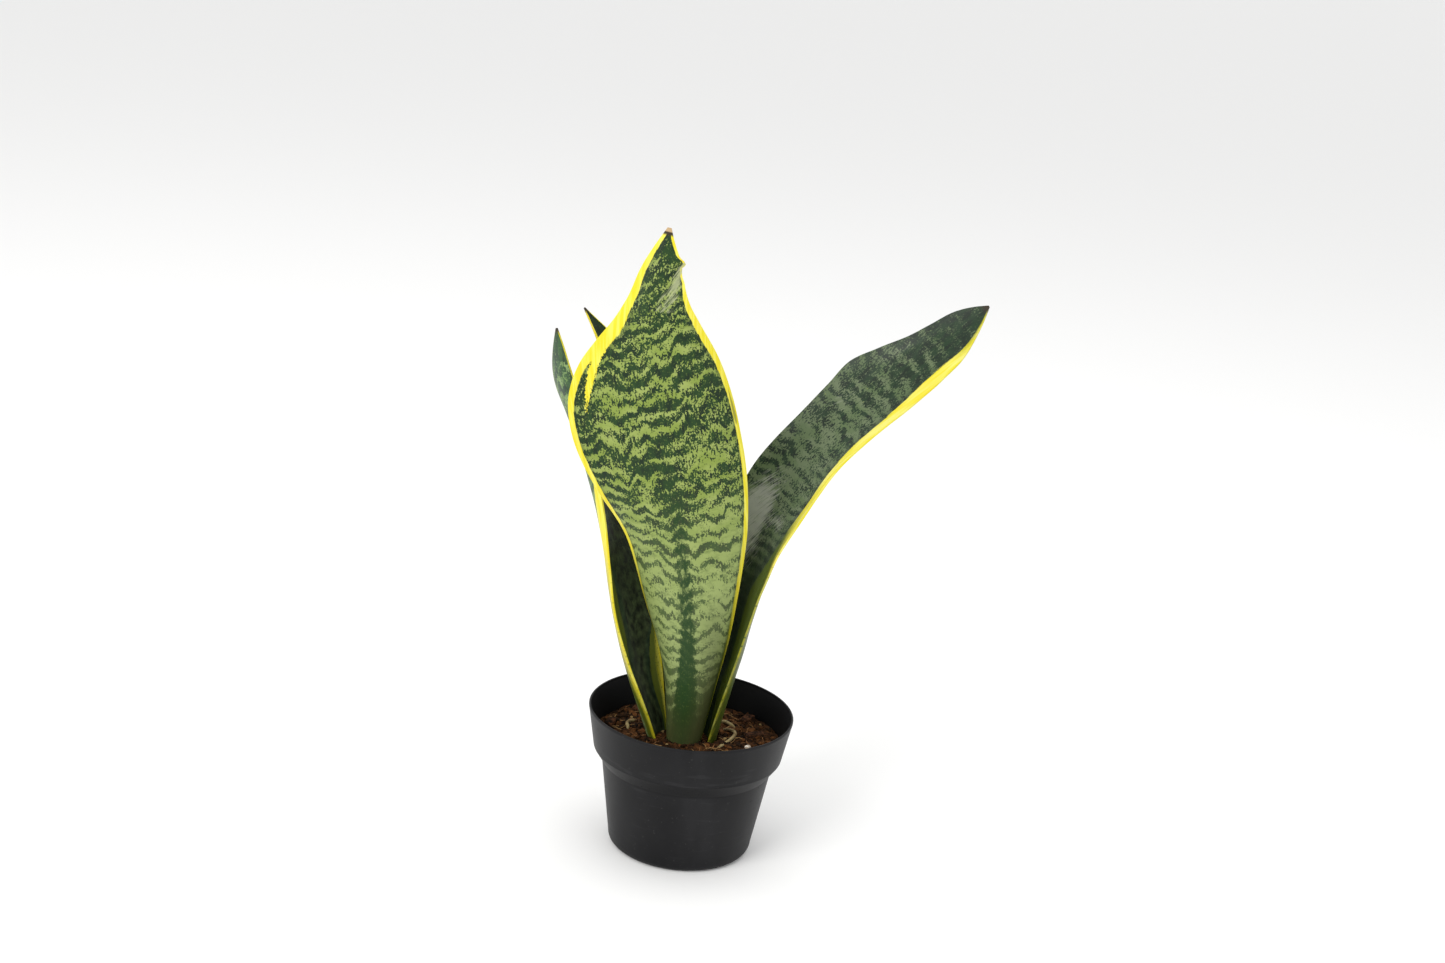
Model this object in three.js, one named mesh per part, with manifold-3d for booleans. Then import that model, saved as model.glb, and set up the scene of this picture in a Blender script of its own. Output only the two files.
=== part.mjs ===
// A young variegated snake plant (Dracaena trifasciata) in a black nursery pot.
// Millimetres, +Z up. The origin is the middle of the pot's underside, on the
// surface that the pot stands on. The front of the plant looks along -Y.
import * as THREE from "three";
import { mergeVertices } from "three/addons/utils/BufferGeometryUtils.js";
import Module from "manifold-3d";

const wasm = await Module();
wasm.setup();

// ---------------------------------------------------------------- sizes

// Pot
const POT_RIM_DIAMETER = 120; // outside, at the lip
const POT_BASE_DIAMETER = 85; // outside, just above the foot
const POT_HEIGHT = 85;
const POT_WALL = 1.2;
const RIM_BAND_HEIGHT = 25; // the wide band under the lip
const RIM_BAND_TAPER = 4.5; // radius lost from the lip to the foot of the band
const LEDGE_WIDTH = 5.5; // radius lost across the sloped ledge under the band
const LEDGE_DROP = 8; // height of that ledge
const FOOT_CORNER_RADIUS = 5;
const FOOT_RING_WIDTH = 12; // flat ring that the pot stands on
const CENTRE_PAD_DIAMETER = 24; // flat pad in the middle of the underside
const FLOOR_RAISE = 3; // the floor between pad and ring is lifted this much
const FLOOR_STEP_RUN = 2; // and slopes to them over this length
const DRAIN_HOLES = 8;
const DRAIN_HOLE_DIAMETER = 5;
const POT_SEGMENTS = 60; // a multiple of four, so the box is true

// Potting mix
const HEADSPACE = 19; // from the lip down to the mix
const CLEARANCE = 0.3; // between any two pieces that touch in the real plant

// Leaves
const LEAF_SET_DEPTH = 12; // how deep each leaf base stands in the mix
const LEAF_BASE_THICKNESS = 5;
const LEAF_TIP_THICKNESS = 1.6;
const LEAF_MARGIN_THICKNESS = 1;
const LEAF_STATIONS = 25; // cross-sections along each leaf
const LEAF_STEPS_ACROSS = 10; // an even number

// Rhizome and roots in the mix
const RHIZOME_DIAMETER = 13;
const RHIZOME_BITE = 3; // how far the leaf bases reach into the rhizome
const ROOT_DIAMETER = 3;
const ROOT_END_GAP = 6; // from a root's end to the pot's wall

const mixTop = POT_HEIGHT - HEADSPACE;

// Each leaf is a blade round a spine.
//   height    of the tip above the mix
//   halfWidth of the blade at its widest
//   spine     [share of length, x, y, share of height] from the base to the tip;
//             the base itself is LEAF_SET_DEPTH below the mix
//   left, right  [share of length, share of halfWidth]
//   turn      [share of length, degrees] that the blade is turned about its spine
//   hollow    [share of length, degrees] of arc across the blade, margins forward
//   roll      [share of length, degrees left, degrees right] at the margins alone
const LEAVES = [
  {
    name: "leaf_front",
    colour: 0x6f9442,
    height: 304,
    halfWidth: 49,
    spine: [
      [0, -3, -11], [0.12, -4, -13, 0.12], [0.26, -7, -17, 0.26], [0.4, -15, -23, 0.42],
      [0.54, -25, -29, 0.555], [0.68, -36, -34, 0.705], [0.82, -41, -35, 0.835],
      [0.93, -40, -31, 0.93], [1, -37, -27, 1],
    ],
    left: [
      [0, 0.22], [0.12, 0.37], [0.26, 0.64], [0.4, 0.74], [0.5, 0.91], [0.56, 0.99],
      [0.62, 1.035], [0.68, 1], [0.74, 0.83], [0.78, 0.635], [0.82, 0.44], [0.86, 0.315],
      [0.93, 0.195], [0.97, 0.13], [1, 0.035],
    ],
    right: [
      [0, 0.22], [0.12, 0.4], [0.26, 0.57], [0.4, 0.79], [0.54, 0.895], [0.62, 0.89],
      [0.68, 0.835], [0.74, 0.735], [0.82, 0.525], [0.86, 0.4], [0.9, 0.31], [0.935, 0.265],
      [0.96, 0.195], [0.98, 0.115], [1, 0.03],
    ],
    turn: [[0, 0], [0.2, 10], [0.4, 7], [0.65, 1], [1, 3]],
    hollow: [[0, -150], [0.15, -130], [0.4, -80], [0.6, -50], [1, -30]],
    roll: [[0, 0, 0], [0.42, 0, 0], [0.65, 25, -25], [0.85, 10, -12], [1, 0, 0]],
  },
  {
    name: "leaf_right",
    colour: 0x4d6b4a,
    height: 266,
    halfWidth: 30,
    spine: [
      [0, 11, 5], [0.15, 19, 8, 0.19], [0.35, 27, 14, 0.43], [0.55, 50, 22, 0.62],
      [0.75, 92, 31, 0.8], [0.9, 123, 38, 0.92], [1, 146, 43, 1],
    ],
    left: [
      [0, 0.33], [0.15, 0.5], [0.35, 0.75], [0.5, 0.9], [0.6, 0.89], [0.68, 0.97],
      [0.74, 1.03], [0.8, 0.79], [0.85, 0.57], [0.9, 0.44], [0.95, 0.32], [0.98, 0.18],
      [1, 0.05],
    ],
    right: [
      [0, 0.33], [0.15, 0.86], [0.3, 0.98], [0.4, 0.95], [0.55, 0.93], [0.65, 0.86],
      [0.75, 0.79], [0.85, 0.7], [0.9, 0.62], [0.95, 0.36], [0.98, 0.18], [1, 0.05],
    ],
    turn: [[0, 60], [0.35, 46], [0.7, 54], [1, 34]],
    hollow: [[0, 150], [0.2, 120], [0.45, 70], [0.75, 40], [1, 20]],
    roll: [[0, 0, 0], [1, 0, 0]],
  },
  {
    name: "leaf_left",
    colour: 0x5c8248,
    height: 229,
    halfWidth: 20,
    spine: [
      [0, -17, -1], [0.15, -34, 3, 0.155], [0.35, -48, 10, 0.355], [0.55, -65, 18, 0.56],
      [0.75, -82, 27, 0.75], [0.9, -94, 34, 0.895], [1, -99, 38, 1],
    ],
    left: [
      [0, 0.4], [0.15, 0.98], [0.25, 1.08], [0.33, 1.15], [0.4, 1.08], [0.46, 0.95],
      [0.55, 0.82], [0.75, 0.78], [0.9, 0.48], [0.95, 0.31], [1, 0.07],
    ],
    right: [
      [0, 0.4], [0.15, 0.9], [0.35, 0.95], [0.55, 0.8], [0.7, 0.85], [0.8, 0.97],
      [0.87, 0.9], [0.95, 0.43], [1, 0.06],
    ],
    turn: [[0, -70], [0.35, -60], [0.6, -96], [0.8, -119], [1, -127]],
    hollow: [[0, 150], [0.2, 120], [0.4, 100], [0.65, 70], [1, 20]],
    roll: [[0, 0, 0], [1, 0, 0]],
  },
  {
    name: "leaf_back",
    colour: 0x44653c,
    height: 240,
    halfWidth: 18,
    spine: [
      [0, -10, 17], [0.15, -13, 22, 0.165], [0.35, -21, 29, 0.39], [0.55, -37, 35, 0.585],
      [0.75, -54, 43, 0.77], [0.9, -69, 48, 0.915], [1, -85, 50, 1],
    ],
    left: [[0, 0.45], [0.15, 0.75], [0.35, 0.9], [0.55, 1], [0.75, 0.8], [0.9, 0.35], [1, 0.06]],
    right: [[0, 0.45], [0.15, 0.65], [0.35, 0.85], [0.55, 1], [0.75, 0.8], [0.9, 0.35], [1, 0.06]],
    turn: [[0, -8], [0.4, -1], [0.7, -15], [1, -31]],
    hollow: [[0, 150], [0.2, 110], [0.45, 60], [0.75, 40], [1, 20]],
    roll: [[0, 0, 0], [1, 0, 0]],
  },
];

// Roots under the mix: [compass angle in degrees, share of the mix's depth at the end]
const ROOTS = [[15, 0.55], [80, 0.85], [140, 0.6], [205, 0.9], [260, 0.65], [320, 0.85]];

// Dry root strands that lie on the mix, each a line of [x, y, lift above the mix].
const STRAND_DIAMETER = 2.6;
const STRANDS = [
  [[20, 15, 0], [25, 10, 2], [27, 2, 3], [22, -7, 1], [17, -13, 0]],
  [[17, 26, 0], [22, 22, 1.5], [27, 18, 0]],
  [[-32, 16, 0], [-37, 9, 1], [-36, 1, 0]],
];

// Loose pieces on the mix: [x, y, length, width, height, turned by degrees]
const CHIPS = [
  [39, 9, 13, 6, 4, 25], [31, -21, 11, 6, 4, -35], [46, -8, 9, 5, 3.5, 80], [34, 32, 12, 6, 4, 60],
  [-38, -20, 12, 6, 4, -25], [-23, -30, 10, 5, 3.5, 15], [-47, 8, 10, 6, 4, 75], [12, 40, 11, 6, 4, 5],
  [7, -36, 10, 5, 3.5, -10], [-30, 34, 12, 6, 4, 40],
];
const PERLITE = [[35, -9, 5, 4, 4, 10], [26, -30, 4, 4, 3, 50], [-44, -9, 4, 4, 3, 20]];

// ---------------------------------------------------------------- tools

const radians = THREE.MathUtils.degToRad;

// A smooth curve through [key, value, value, ...] rows, read at the key `at`.
function smooth(rows, at) {
  const last = rows.length - 1;
  const key = THREE.MathUtils.clamp(at, rows[0][0], rows[last][0]);
  let i = 0;
  while (i < last - 1 && rows[i + 1][0] <= key) i += 1;
  const slope = (a, b, c) => (rows[b][c] - rows[a][c]) / (rows[b][0] - rows[a][0]);
  const tangent = (k, c) => {
    if (k === 0) return slope(0, 1, c);
    if (k === last) return slope(last - 1, last, c);
    const before = rows[k][0] - rows[k - 1][0];
    const after = rows[k + 1][0] - rows[k][0];
    return (slope(k - 1, k, c) * after + slope(k, k + 1, c) * before) / (before + after);
  };
  const step = rows[i + 1][0] - rows[i][0];
  const s = (key - rows[i][0]) / step;
  const values = [];
  for (let c = 1; c < rows[0].length; c += 1) {
    const p0 = rows[i][c];
    const p1 = rows[i + 1][c];
    const m0 = tangent(i, c) * step;
    const m1 = tangent(i + 1, c) * step;
    const a = 2 * (p0 - p1) + m0 + m1;
    const b = 3 * (p1 - p0) - 2 * m0 - m1;
    values.push(((a * s + b) * s + m0) * s + p0);
  }
  return values;
}

// A closed three.js geometry as a manifold-3d solid.
function solid(geometry) {
  const plain = geometry.clone();
  plain.deleteAttribute("normal");
  plain.deleteAttribute("uv");
  const merged = mergeVertices(plain, 1e-4);
  return new wasm.Manifold(
    new wasm.Mesh({
      numProp: 3,
      vertProperties: merged.attributes.position.array,
      triVerts: new Uint32Array(merged.index.array),
    }),
  );
}

function geometryOf(manifold) {
  const mesh = manifold.getMesh();
  const geometry = new THREE.BufferGeometry();
  geometry.setAttribute("position", new THREE.BufferAttribute(mesh.vertProperties, 3));
  geometry.setIndex(new THREE.BufferAttribute(mesh.triVerts, 1));
  geometry.computeVertexNormals();
  return geometry;
}

// An outline of [radius, height] rows turned round the Z axis.
function turned(outline, segments = POT_SEGMENTS) {
  const points = outline.map(([r, z]) => new THREE.Vector2(r, z));
  return new THREE.LatheGeometry(points, segments).rotateX(Math.PI / 2);
}

// The outline moved `distance` towards the inside of the pot, with mitred corners.
function inset(outline, distance) {
  const normals = outline.slice(1).map(([r, z], i) => {
    const dr = r - outline[i][0];
    const dz = z - outline[i][1];
    const length = Math.hypot(dr, dz);
    return [-dz / length, dr / length];
  });
  return outline.map(([r, z], i) => {
    if (i === 0) return [r, z + distance];
    const [ar, az] = normals[i - 1];
    if (i === normals.length) return [r + distance / ar, z];
    const [br, bz] = normals[i];
    const mitre = distance / (1 + ar * br + az * bz);
    return [r + (ar + br) * mitre, z + (az + bz) * mitre];
  });
}

// The part of an outline below `height`, ended exactly there.
function below(outline, height) {
  const kept = [];
  for (const [r, z] of outline) {
    if (z >= height) {
      const [pr, pz] = kept[kept.length - 1];
      kept.push([pr + ((r - pr) * (height - pz)) / (z - pz), height]);
      return kept;
    }
    kept.push([r, z]);
  }
  return kept;
}

// A round tube through points, with closed ends.
function tube(points, diameter, sides = 8, steps = 12) {
  const section = new THREE.Shape();
  section.absarc(0, 0, diameter / 2, 0, 2 * Math.PI);
  return new THREE.ExtrudeGeometry(section, {
    extrudePath: new THREE.CatmullRomCurve3(points),
    steps,
    curveSegments: sides / 2, // three.js divides a full circle into twice this
    bevelEnabled: false,
  });
}

// ---------------------------------------------------------------- pot

const rimRadius = POT_RIM_DIAMETER / 2;
const baseRadius = POT_BASE_DIAMETER / 2;
const bandFootRadius = rimRadius - RIM_BAND_TAPER;
const bandFoot = POT_HEIGHT - RIM_BAND_HEIGHT;
const padRadius = CENTRE_PAD_DIAMETER / 2;
const footInside = baseRadius - FOOT_RING_WIDTH;

function footCorner() {
  const arc = [];
  for (const degrees of [0, 30, 60, 90]) {
    const a = radians(degrees);
    arc.push([
      baseRadius - FOOT_CORNER_RADIUS + FOOT_CORNER_RADIUS * Math.sin(a),
      FOOT_CORNER_RADIUS * (1 - Math.cos(a)),
    ]);
  }
  return arc;
}

const potOutside = [
  [0, 0],
  [padRadius, 0],
  [padRadius + FLOOR_STEP_RUN, FLOOR_RAISE],
  [footInside - FLOOR_STEP_RUN, FLOOR_RAISE],
  [footInside, 0],
  ...footCorner(),
  [bandFootRadius - LEDGE_WIDTH, bandFoot - LEDGE_DROP],
  [bandFootRadius, bandFoot],
  [rimRadius, POT_HEIGHT],
];

function nurseryPot() {
  const shell = turned([...potOutside, ...inset(potOutside, POT_WALL).reverse()]);
  const ringRadius = (padRadius + footInside) / 2;
  let pot = solid(shell);
  for (let i = 0; i < DRAIN_HOLES; i += 1) {
    const angle = (2 * Math.PI * i) / DRAIN_HOLES;
    const drill = new THREE.CylinderGeometry(
      DRAIN_HOLE_DIAMETER / 2,
      DRAIN_HOLE_DIAMETER / 2,
      4 * (FLOOR_RAISE + POT_WALL),
      12,
    );
    drill.rotateX(Math.PI / 2);
    drill.translate(ringRadius * Math.cos(angle), ringRadius * Math.sin(angle), 0);
    pot = pot.subtract(solid(drill));
  }
  return pot;
}

// ---------------------------------------------------------------- leaves

function spinePoint(leaf, at) {
  const rows = leaf.spine.map(([share, x, y, rise]) => [
    share,
    x,
    y,
    rise === undefined ? mixTop - LEAF_SET_DEPTH : mixTop + rise * leaf.height,
  ]);
  return new THREE.Vector3(...smooth(rows, at));
}

// Where the blade is at one station: its spine point, its direction, the way
// across it to the right and the way its upper face looks.
function frameAt(leaf, at) {
  const step = 1e-3;
  const point = spinePoint(leaf, at);
  const along = spinePoint(leaf, Math.min(at + step, 1))
    .sub(spinePoint(leaf, Math.max(at - step, 0)))
    .normalize();
  const across = along.clone().cross(new THREE.Vector3(0, -1, 0)).normalize();
  const facing = across.clone().cross(along);
  const turn = radians(smooth(leaf.turn, at)[0]);
  return {
    point,
    along,
    across: across.clone().multiplyScalar(Math.cos(turn)).addScaledVector(facing, Math.sin(turn)),
    facing: facing.clone().multiplyScalar(Math.cos(turn)).addScaledVector(across, -Math.sin(turn)),
  };
}

// One cross-section of a blade, as a ring of points: along the upper face from
// the left margin to the right one, and back along the lower face.
function sectionRing(leaf, at, grow) {
  const frame = frameAt(leaf, at);
  const [hollow] = smooth(leaf.hollow, at);
  const [rollLeft, rollRight] = smooth(leaf.roll, at);
  const middle = THREE.MathUtils.lerp(LEAF_BASE_THICKNESS, LEAF_TIP_THICKNESS, at ** 0.6);
  const steps = LEAF_STEPS_ACROSS / 2;
  const upper = [];
  const lower = [];
  const halves = [
    { side: -1, width: smooth(leaf.left, at)[0] * leaf.halfWidth + grow, roll: rollLeft },
    { side: 1, width: smooth(leaf.right, at)[0] * leaf.halfWidth + grow, roll: rollRight },
  ];
  for (const { side, width, roll } of halves) {
    let x = 0;
    let y = 0;
    for (let i = 0; i <= steps; i += 1) {
      const here = i / steps;
      const heading = (u) => radians((hollow / 2) * u + roll * Math.max(0, (u - 0.55) / 0.45) ** 1.5);
      if (i > 0) {
        const between = (i - 0.5) / steps;
        x += (side * width * Math.cos(heading(between))) / steps;
        y += (width * Math.sin(heading(between))) / steps;
      }
      if (i === 0 && side > 0) continue;
      const half = grow + (LEAF_MARGIN_THICKNESS + (middle - LEAF_MARGIN_THICKNESS) * (1 - here ** 2)) / 2;
      const nx = -side * Math.sin(heading(here));
      const ny = Math.cos(heading(here));
      const place = (offset) =>
        frame.point
          .clone()
          .addScaledVector(frame.across, x + nx * offset)
          .addScaledVector(frame.facing, y + ny * offset);
      const put = side < 0 ? "unshift" : "push";
      upper[put](place(half));
      lower[put](place(-half));
    }
  }
  return [...upper, ...lower.reverse()];
}

// A whole blade, grown by `grow` on every side.
function leafGeometry(leaf, grow = 0) {
  const positions = [];
  const faces = [];
  const rings = [];
  for (let i = 0; i < LEAF_STATIONS; i += 1) {
    const at = i / (LEAF_STATIONS - 1);
    const ring = sectionRing(leaf, at, grow);
    const ends = { 0: -grow, [LEAF_STATIONS - 1]: grow };
    if (ends[i]) {
      const { along } = frameAt(leaf, at);
      ring.forEach((p) => p.addScaledVector(along, ends[i]));
    }
    rings.push(ring);
  }
  const size = rings[0].length;
  rings.flat().forEach((p) => positions.push(p.x, p.y, p.z));
  for (let i = 0; i + 1 < rings.length; i += 1) {
    for (let j = 0; j < size; j += 1) {
      const next = (j + 1) % size;
      const a = i * size + j;
      const b = i * size + next;
      faces.push(a, b, a + size, b, b + size, a + size);
    }
  }
  // Each end is closed by a strip between its upper and lower edge.
  for (const [start, flip] of [[0, true], [(rings.length - 1) * size, false]]) {
    for (let j = 0; j + 1 < size / 2; j += 1) {
      const a = start + j;
      const b = start + j + 1;
      const c = start + size - 1 - j;
      const d = start + size - 2 - j;
      const strip = [a, b, c, b, d, c];
      faces.push(...(flip ? strip.reverse() : strip));
    }
  }
  const geometry = new THREE.BufferGeometry();
  geometry.setAttribute("position", new THREE.Float32BufferAttribute(positions, 3));
  geometry.setIndex(faces);
  geometry.computeVertexNormals();
  return geometry;
}

// ---------------------------------------------------------------- under the mix

// A straight limb with round ends, grown by `grow` on every side.
function limb(from, to, width, grow) {
  const along = to.clone().sub(from);
  const radius = width / 2 + grow;
  const stem = new THREE.CylinderGeometry(radius, radius, along.length() + 2 * grow, 8);
  const up = new THREE.Vector3(0, 1, 0);
  stem.applyQuaternion(new THREE.Quaternion().setFromUnitVectors(up, along.clone().normalize()));
  stem.translate(...from.clone().add(to).divideScalar(2));
  const ball = (at) => solid(new THREE.IcosahedronGeometry(radius, 1).translate(...at));
  return solid(stem).add(ball(from)).add(ball(to));
}

// The rhizome branches from a crown to the leaf bases, which stand a little way
// into it, and its roots run from the crown to near the pot's wall.
function underground(grow) {
  const depth = mixTop - LEAF_SET_DEPTH + RHIZOME_BITE - RHIZOME_DIAMETER / 2;
  const bases = LEAVES.map((leaf) => spinePoint(leaf, 0).setZ(depth));
  const crown = new THREE.Vector3();
  bases.forEach((base) => crown.addScaledVector(base, 1 / bases.length));
  let stem = solid(new THREE.IcosahedronGeometry(RHIZOME_DIAMETER / 2 + grow, 1).translate(...crown));
  for (const base of bases) stem = stem.add(limb(crown, base, RHIZOME_DIAMETER, grow));
  const inside = inset(potOutside, POT_WALL);
  const floor = FLOOR_RAISE + POT_WALL;
  for (const [compass, share] of ROOTS) {
    const angle = radians(compass);
    const end = THREE.MathUtils.lerp(depth, floor + ROOT_END_GAP, share);
    const reach = below(inside, end).pop()[0] - ROOT_END_GAP;
    const out = (distance, z) =>
      new THREE.Vector3(distance * Math.cos(angle), distance * Math.sin(angle), z);
    const path = [crown, out(0.62 * reach, THREE.MathUtils.lerp(depth, end, 0.35)), out(reach, end)];
    const tip = path[2].clone().sub(path[1]).normalize();
    path[2].addScaledVector(tip, grow);
    stem = stem.add(solid(tube(path, ROOT_DIAMETER + 2 * grow, 6, 8)));
  }
  return stem;
}

const grownLeaves = LEAVES.map((leaf) => solid(leafGeometry(leaf, CLEARANCE)));

function rhizome() {
  return grownLeaves.reduce((stem, leaf) => stem.subtract(leaf), underground(0));
}

function pottingMix() {
  const plug = solid(turned([...below(inset(potOutside, POT_WALL + CLEARANCE), mixTop), [0, mixTop]]));
  return grownLeaves.reduce((mix, leaf) => mix.subtract(leaf), plug.subtract(underground(CLEARANCE)));
}

// ---------------------------------------------------------------- on the mix

function restingOnMix(geometry) {
  geometry.computeBoundingBox();
  return geometry.translate(0, 0, mixTop + CLEARANCE - geometry.boundingBox.min.z);
}

function strand(points) {
  return restingOnMix(
    tube(points.map(([x, y, lift]) => new THREE.Vector3(x, y, lift)), STRAND_DIAMETER, 8, 10),
  );
}

function loosePiece([x, y, length, width, height, degrees], detail) {
  const piece = new THREE.IcosahedronGeometry(0.5, detail);
  piece.scale(length, width, height);
  piece.rotateZ(radians(degrees));
  piece.translate(x, y, 0);
  return restingOnMix(piece);
}

// ---------------------------------------------------------------- assembly

const plant = new THREE.Group();

function addPiece(name, geometry, colour, roughness) {
  const material = new THREE.MeshStandardMaterial({ color: colour, roughness, metalness: 0 });
  const mesh = new THREE.Mesh(geometry, material);
  mesh.name = name;
  plant.add(mesh);
}

addPiece("nursery_pot", geometryOf(nurseryPot()), 0x2b2b2d, 0.55);
addPiece("potting_mix", geometryOf(pottingMix()), 0x4a2c1e, 0.95);
addPiece("rhizome", geometryOf(rhizome()), 0xb07a3c, 0.8);
for (const leaf of LEAVES) addPiece(leaf.name, leafGeometry(leaf), leaf.colour, 0.45);
STRANDS.forEach((points, i) => addPiece(`root_strand_${i + 1}`, strand(points), 0xa88b5c, 0.85));
CHIPS.forEach((row, i) => addPiece(`husk_chip_${i + 1}`, loosePiece(row, 0), 0x7a4a2c, 0.9));
PERLITE.forEach((row, i) => addPiece(`perlite_${i + 1}`, loosePiece(row, 0), 0xd8d2c4, 0.9));

export default plant;
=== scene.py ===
"""A potted variegated snake plant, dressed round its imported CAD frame.

Metres, +Z up; the pot stands on z = 0 and the front of the plant looks along -Y.
Sizes in the classes are millimetres where their docstrings say so.
"""

import logging
import math
import random
from dataclasses import dataclass, fields
from enum import Enum
from typing import Callable, Sequence

import bmesh
import bpy
from bmesh.types import BMEdge, BMesh, BMVert
from bpy.types import Material, Mesh, Node, NodeTree, Object, ShaderNodeTree
from bpy.types import NodeSocket as Socket
from mathutils import Matrix, Vector, noise


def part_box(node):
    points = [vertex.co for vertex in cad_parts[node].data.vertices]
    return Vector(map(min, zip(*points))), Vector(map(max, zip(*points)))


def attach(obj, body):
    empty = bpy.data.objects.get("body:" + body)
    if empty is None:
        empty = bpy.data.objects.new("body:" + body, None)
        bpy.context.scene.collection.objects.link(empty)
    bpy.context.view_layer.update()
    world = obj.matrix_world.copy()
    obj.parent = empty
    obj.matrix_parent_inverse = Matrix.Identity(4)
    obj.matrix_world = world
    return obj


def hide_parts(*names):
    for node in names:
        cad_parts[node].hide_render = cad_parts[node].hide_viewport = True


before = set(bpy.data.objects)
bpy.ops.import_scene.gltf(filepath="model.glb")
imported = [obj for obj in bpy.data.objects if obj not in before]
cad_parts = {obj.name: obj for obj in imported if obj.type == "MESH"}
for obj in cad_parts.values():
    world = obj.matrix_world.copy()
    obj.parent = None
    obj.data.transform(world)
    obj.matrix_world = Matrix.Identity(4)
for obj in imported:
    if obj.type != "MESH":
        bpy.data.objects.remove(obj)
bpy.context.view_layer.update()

logging.basicConfig(level=logging.INFO, format="%(message)s")
log = logging.getLogger("snake_plant")

MM = 0.001
BODY = "root"
MERGE_GAP = 1e-6  # metres
MIX_TOP = 66.0  # millimetres above the floor
Rows = tuple[tuple[float, ...], ...]
Range = tuple[float, float]
Colour = tuple[float, float, float]


# ------------------------------------------------------------------ shared tools


def tangent(rows: Rows, k: int, c: int) -> float:
    """Work out how fast one value changes at one row.

    Args:
        rows: The key and the values at each stated place, keys rising.
        k: The row's index.
        c: The value's index.

    Returns:
        The change of the value for each unit of the key.
    """
    runs, slopes = [], []
    for j in (max(k - 1, 0), min(k, len(rows) - 2)):
        runs.append(rows[j + 1][0] - rows[j][0])
        slopes.append((rows[j + 1][c] - rows[j][c]) / runs[-1])
    return (slopes[0] * runs[1] + slopes[1] * runs[0]) / (runs[0] + runs[1])


def smooth(rows: Rows, at: float) -> list[float]:
    """Read a smooth curve through rows of a key and its values.

    Args:
        rows: The key and the values at each stated place, keys rising.
        at: The key to read at.

    Returns:
        The values there.
    """
    last = len(rows) - 1
    key = min(max(at, rows[0][0]), rows[last][0])
    i = 0
    while i < last - 1 and rows[i + 1][0] <= key:
        i += 1
    run = rows[i + 1][0] - rows[i][0]
    s = (key - rows[i][0]) / run
    values = []
    for c in range(1, len(rows[0])):
        p0, p1 = rows[i][c], rows[i + 1][c]
        m0, m1 = tangent(rows, i, c) * run, tangent(rows, i + 1, c) * run
        a = 2 * (p0 - p1) + m0 + m1
        b = 3 * (p1 - p0) - 2 * m0 - m1
        values.append(((a * s + b) * s + m0) * s + p0)
    return values


def hump(x: float, centre: float, reach: float) -> float:
    """Return a bell that is 1 at its centre and 0 a reach or more away."""
    d = abs(x - centre) / reach
    return 0.0 if d >= 1 else (1 - d * d) ** 2


def sheet_noise(x: float, y: float, z: float, octaves: int = 3) -> float:
    """Read smooth noise with some finer octaves in it.

    Args:
        x: The first coordinate.
        y: The second coordinate.
        z: The third coordinate.
        octaves: How many layers of noise there are, each finer and weaker.

    Returns:
        A value of about -1 to 1.
    """
    total, size, scale = 0.0, 1.0, 1.0
    for _ in range(octaves):
        total += size * noise.noise(Vector((x * scale, y * scale, z * scale)))
        size *= 0.5
        scale *= 2.1
    return total


def soften(bm: BMesh, edges: list[BMEdge], offset: float, segments: int) -> None:
    """Round off some edges.

    Args:
        bm: The mesh.
        edges: The edges.
        offset: The rounding's width, in the mesh's own unit.
        segments: How many faces the rounding has across it.
    """
    how = {"affect": "EDGES", "profile": 0.5, "material": -1, "clamp_overlap": True}
    bmesh.ops.bevel(bm, geom=edges, offset=offset, segments=segments, **how)


def turn_round(bm: BMesh, profile: Sequence[tuple[float, float]], steps: int) -> None:
    """Turn a profile once round the Z axis and close it.

    Args:
        bm: The mesh to add to.
        profile: The radius and the height at each point, in millimetres.
        steps: The number of steps round.
    """
    verts = [bm.verts.new((r * MM, 0, z * MM)) for r, z in profile]
    edges = [bm.edges.new(pair) for pair in zip(verts, verts[1:])]
    still, up = (0, 0, 0), (0, 0, 1)
    once = {"cent": still, "dvec": still, "axis": up, "angle": math.tau, "use_merge": True}
    bmesh.ops.spin(bm, geom=verts + edges, steps=steps, **once)
    bmesh.ops.remove_doubles(bm, verts=bm.verts[:], dist=MERGE_GAP)


def face_out(bm: BMesh) -> None:
    """Turn all of a mesh's faces outwards."""
    bmesh.ops.recalc_face_normals(bm, faces=bm.faces[:])


def thicken(bm: BMesh) -> set[BMVert]:
    """Double an open sheet into a closed skin, and return the far side's vertices."""
    grown = bmesh.ops.extrude_face_region(bm, geom=bm.faces[:])
    return {v for v in grown["geom"] if isinstance(v, BMVert)}


def sweep(bm: BMesh, frames: list[Matrix], radii: list[float], sides: int) -> list[BMVert]:
    """Add a closed tube through a ring at each of some frames.

    Args:
        bm: The mesh to add to.
        frames: Each ring's place, with its axis along Z.
        radii: Each ring's radius, in metres.
        sides: The number of sides.

    Returns:
        The tube's vertices.
    """
    verts: list[BMVert] = []
    ring: list[BMEdge] = []
    ends = (0, len(frames) - 1)
    for i, (place, radius) in enumerate(zip(frames, radii)):
        size = {"segments": sides, "radius": radius, "cap_ends": i in ends}
        made = bmesh.ops.create_circle(bm, matrix=place, **size)["verts"]
        edges = list({e for v in made for e in v.link_edges})
        if ring:
            bmesh.ops.bridge_loops(bm, edges=ring + edges)
        ring = edges
        verts += made
    return verts


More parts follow.
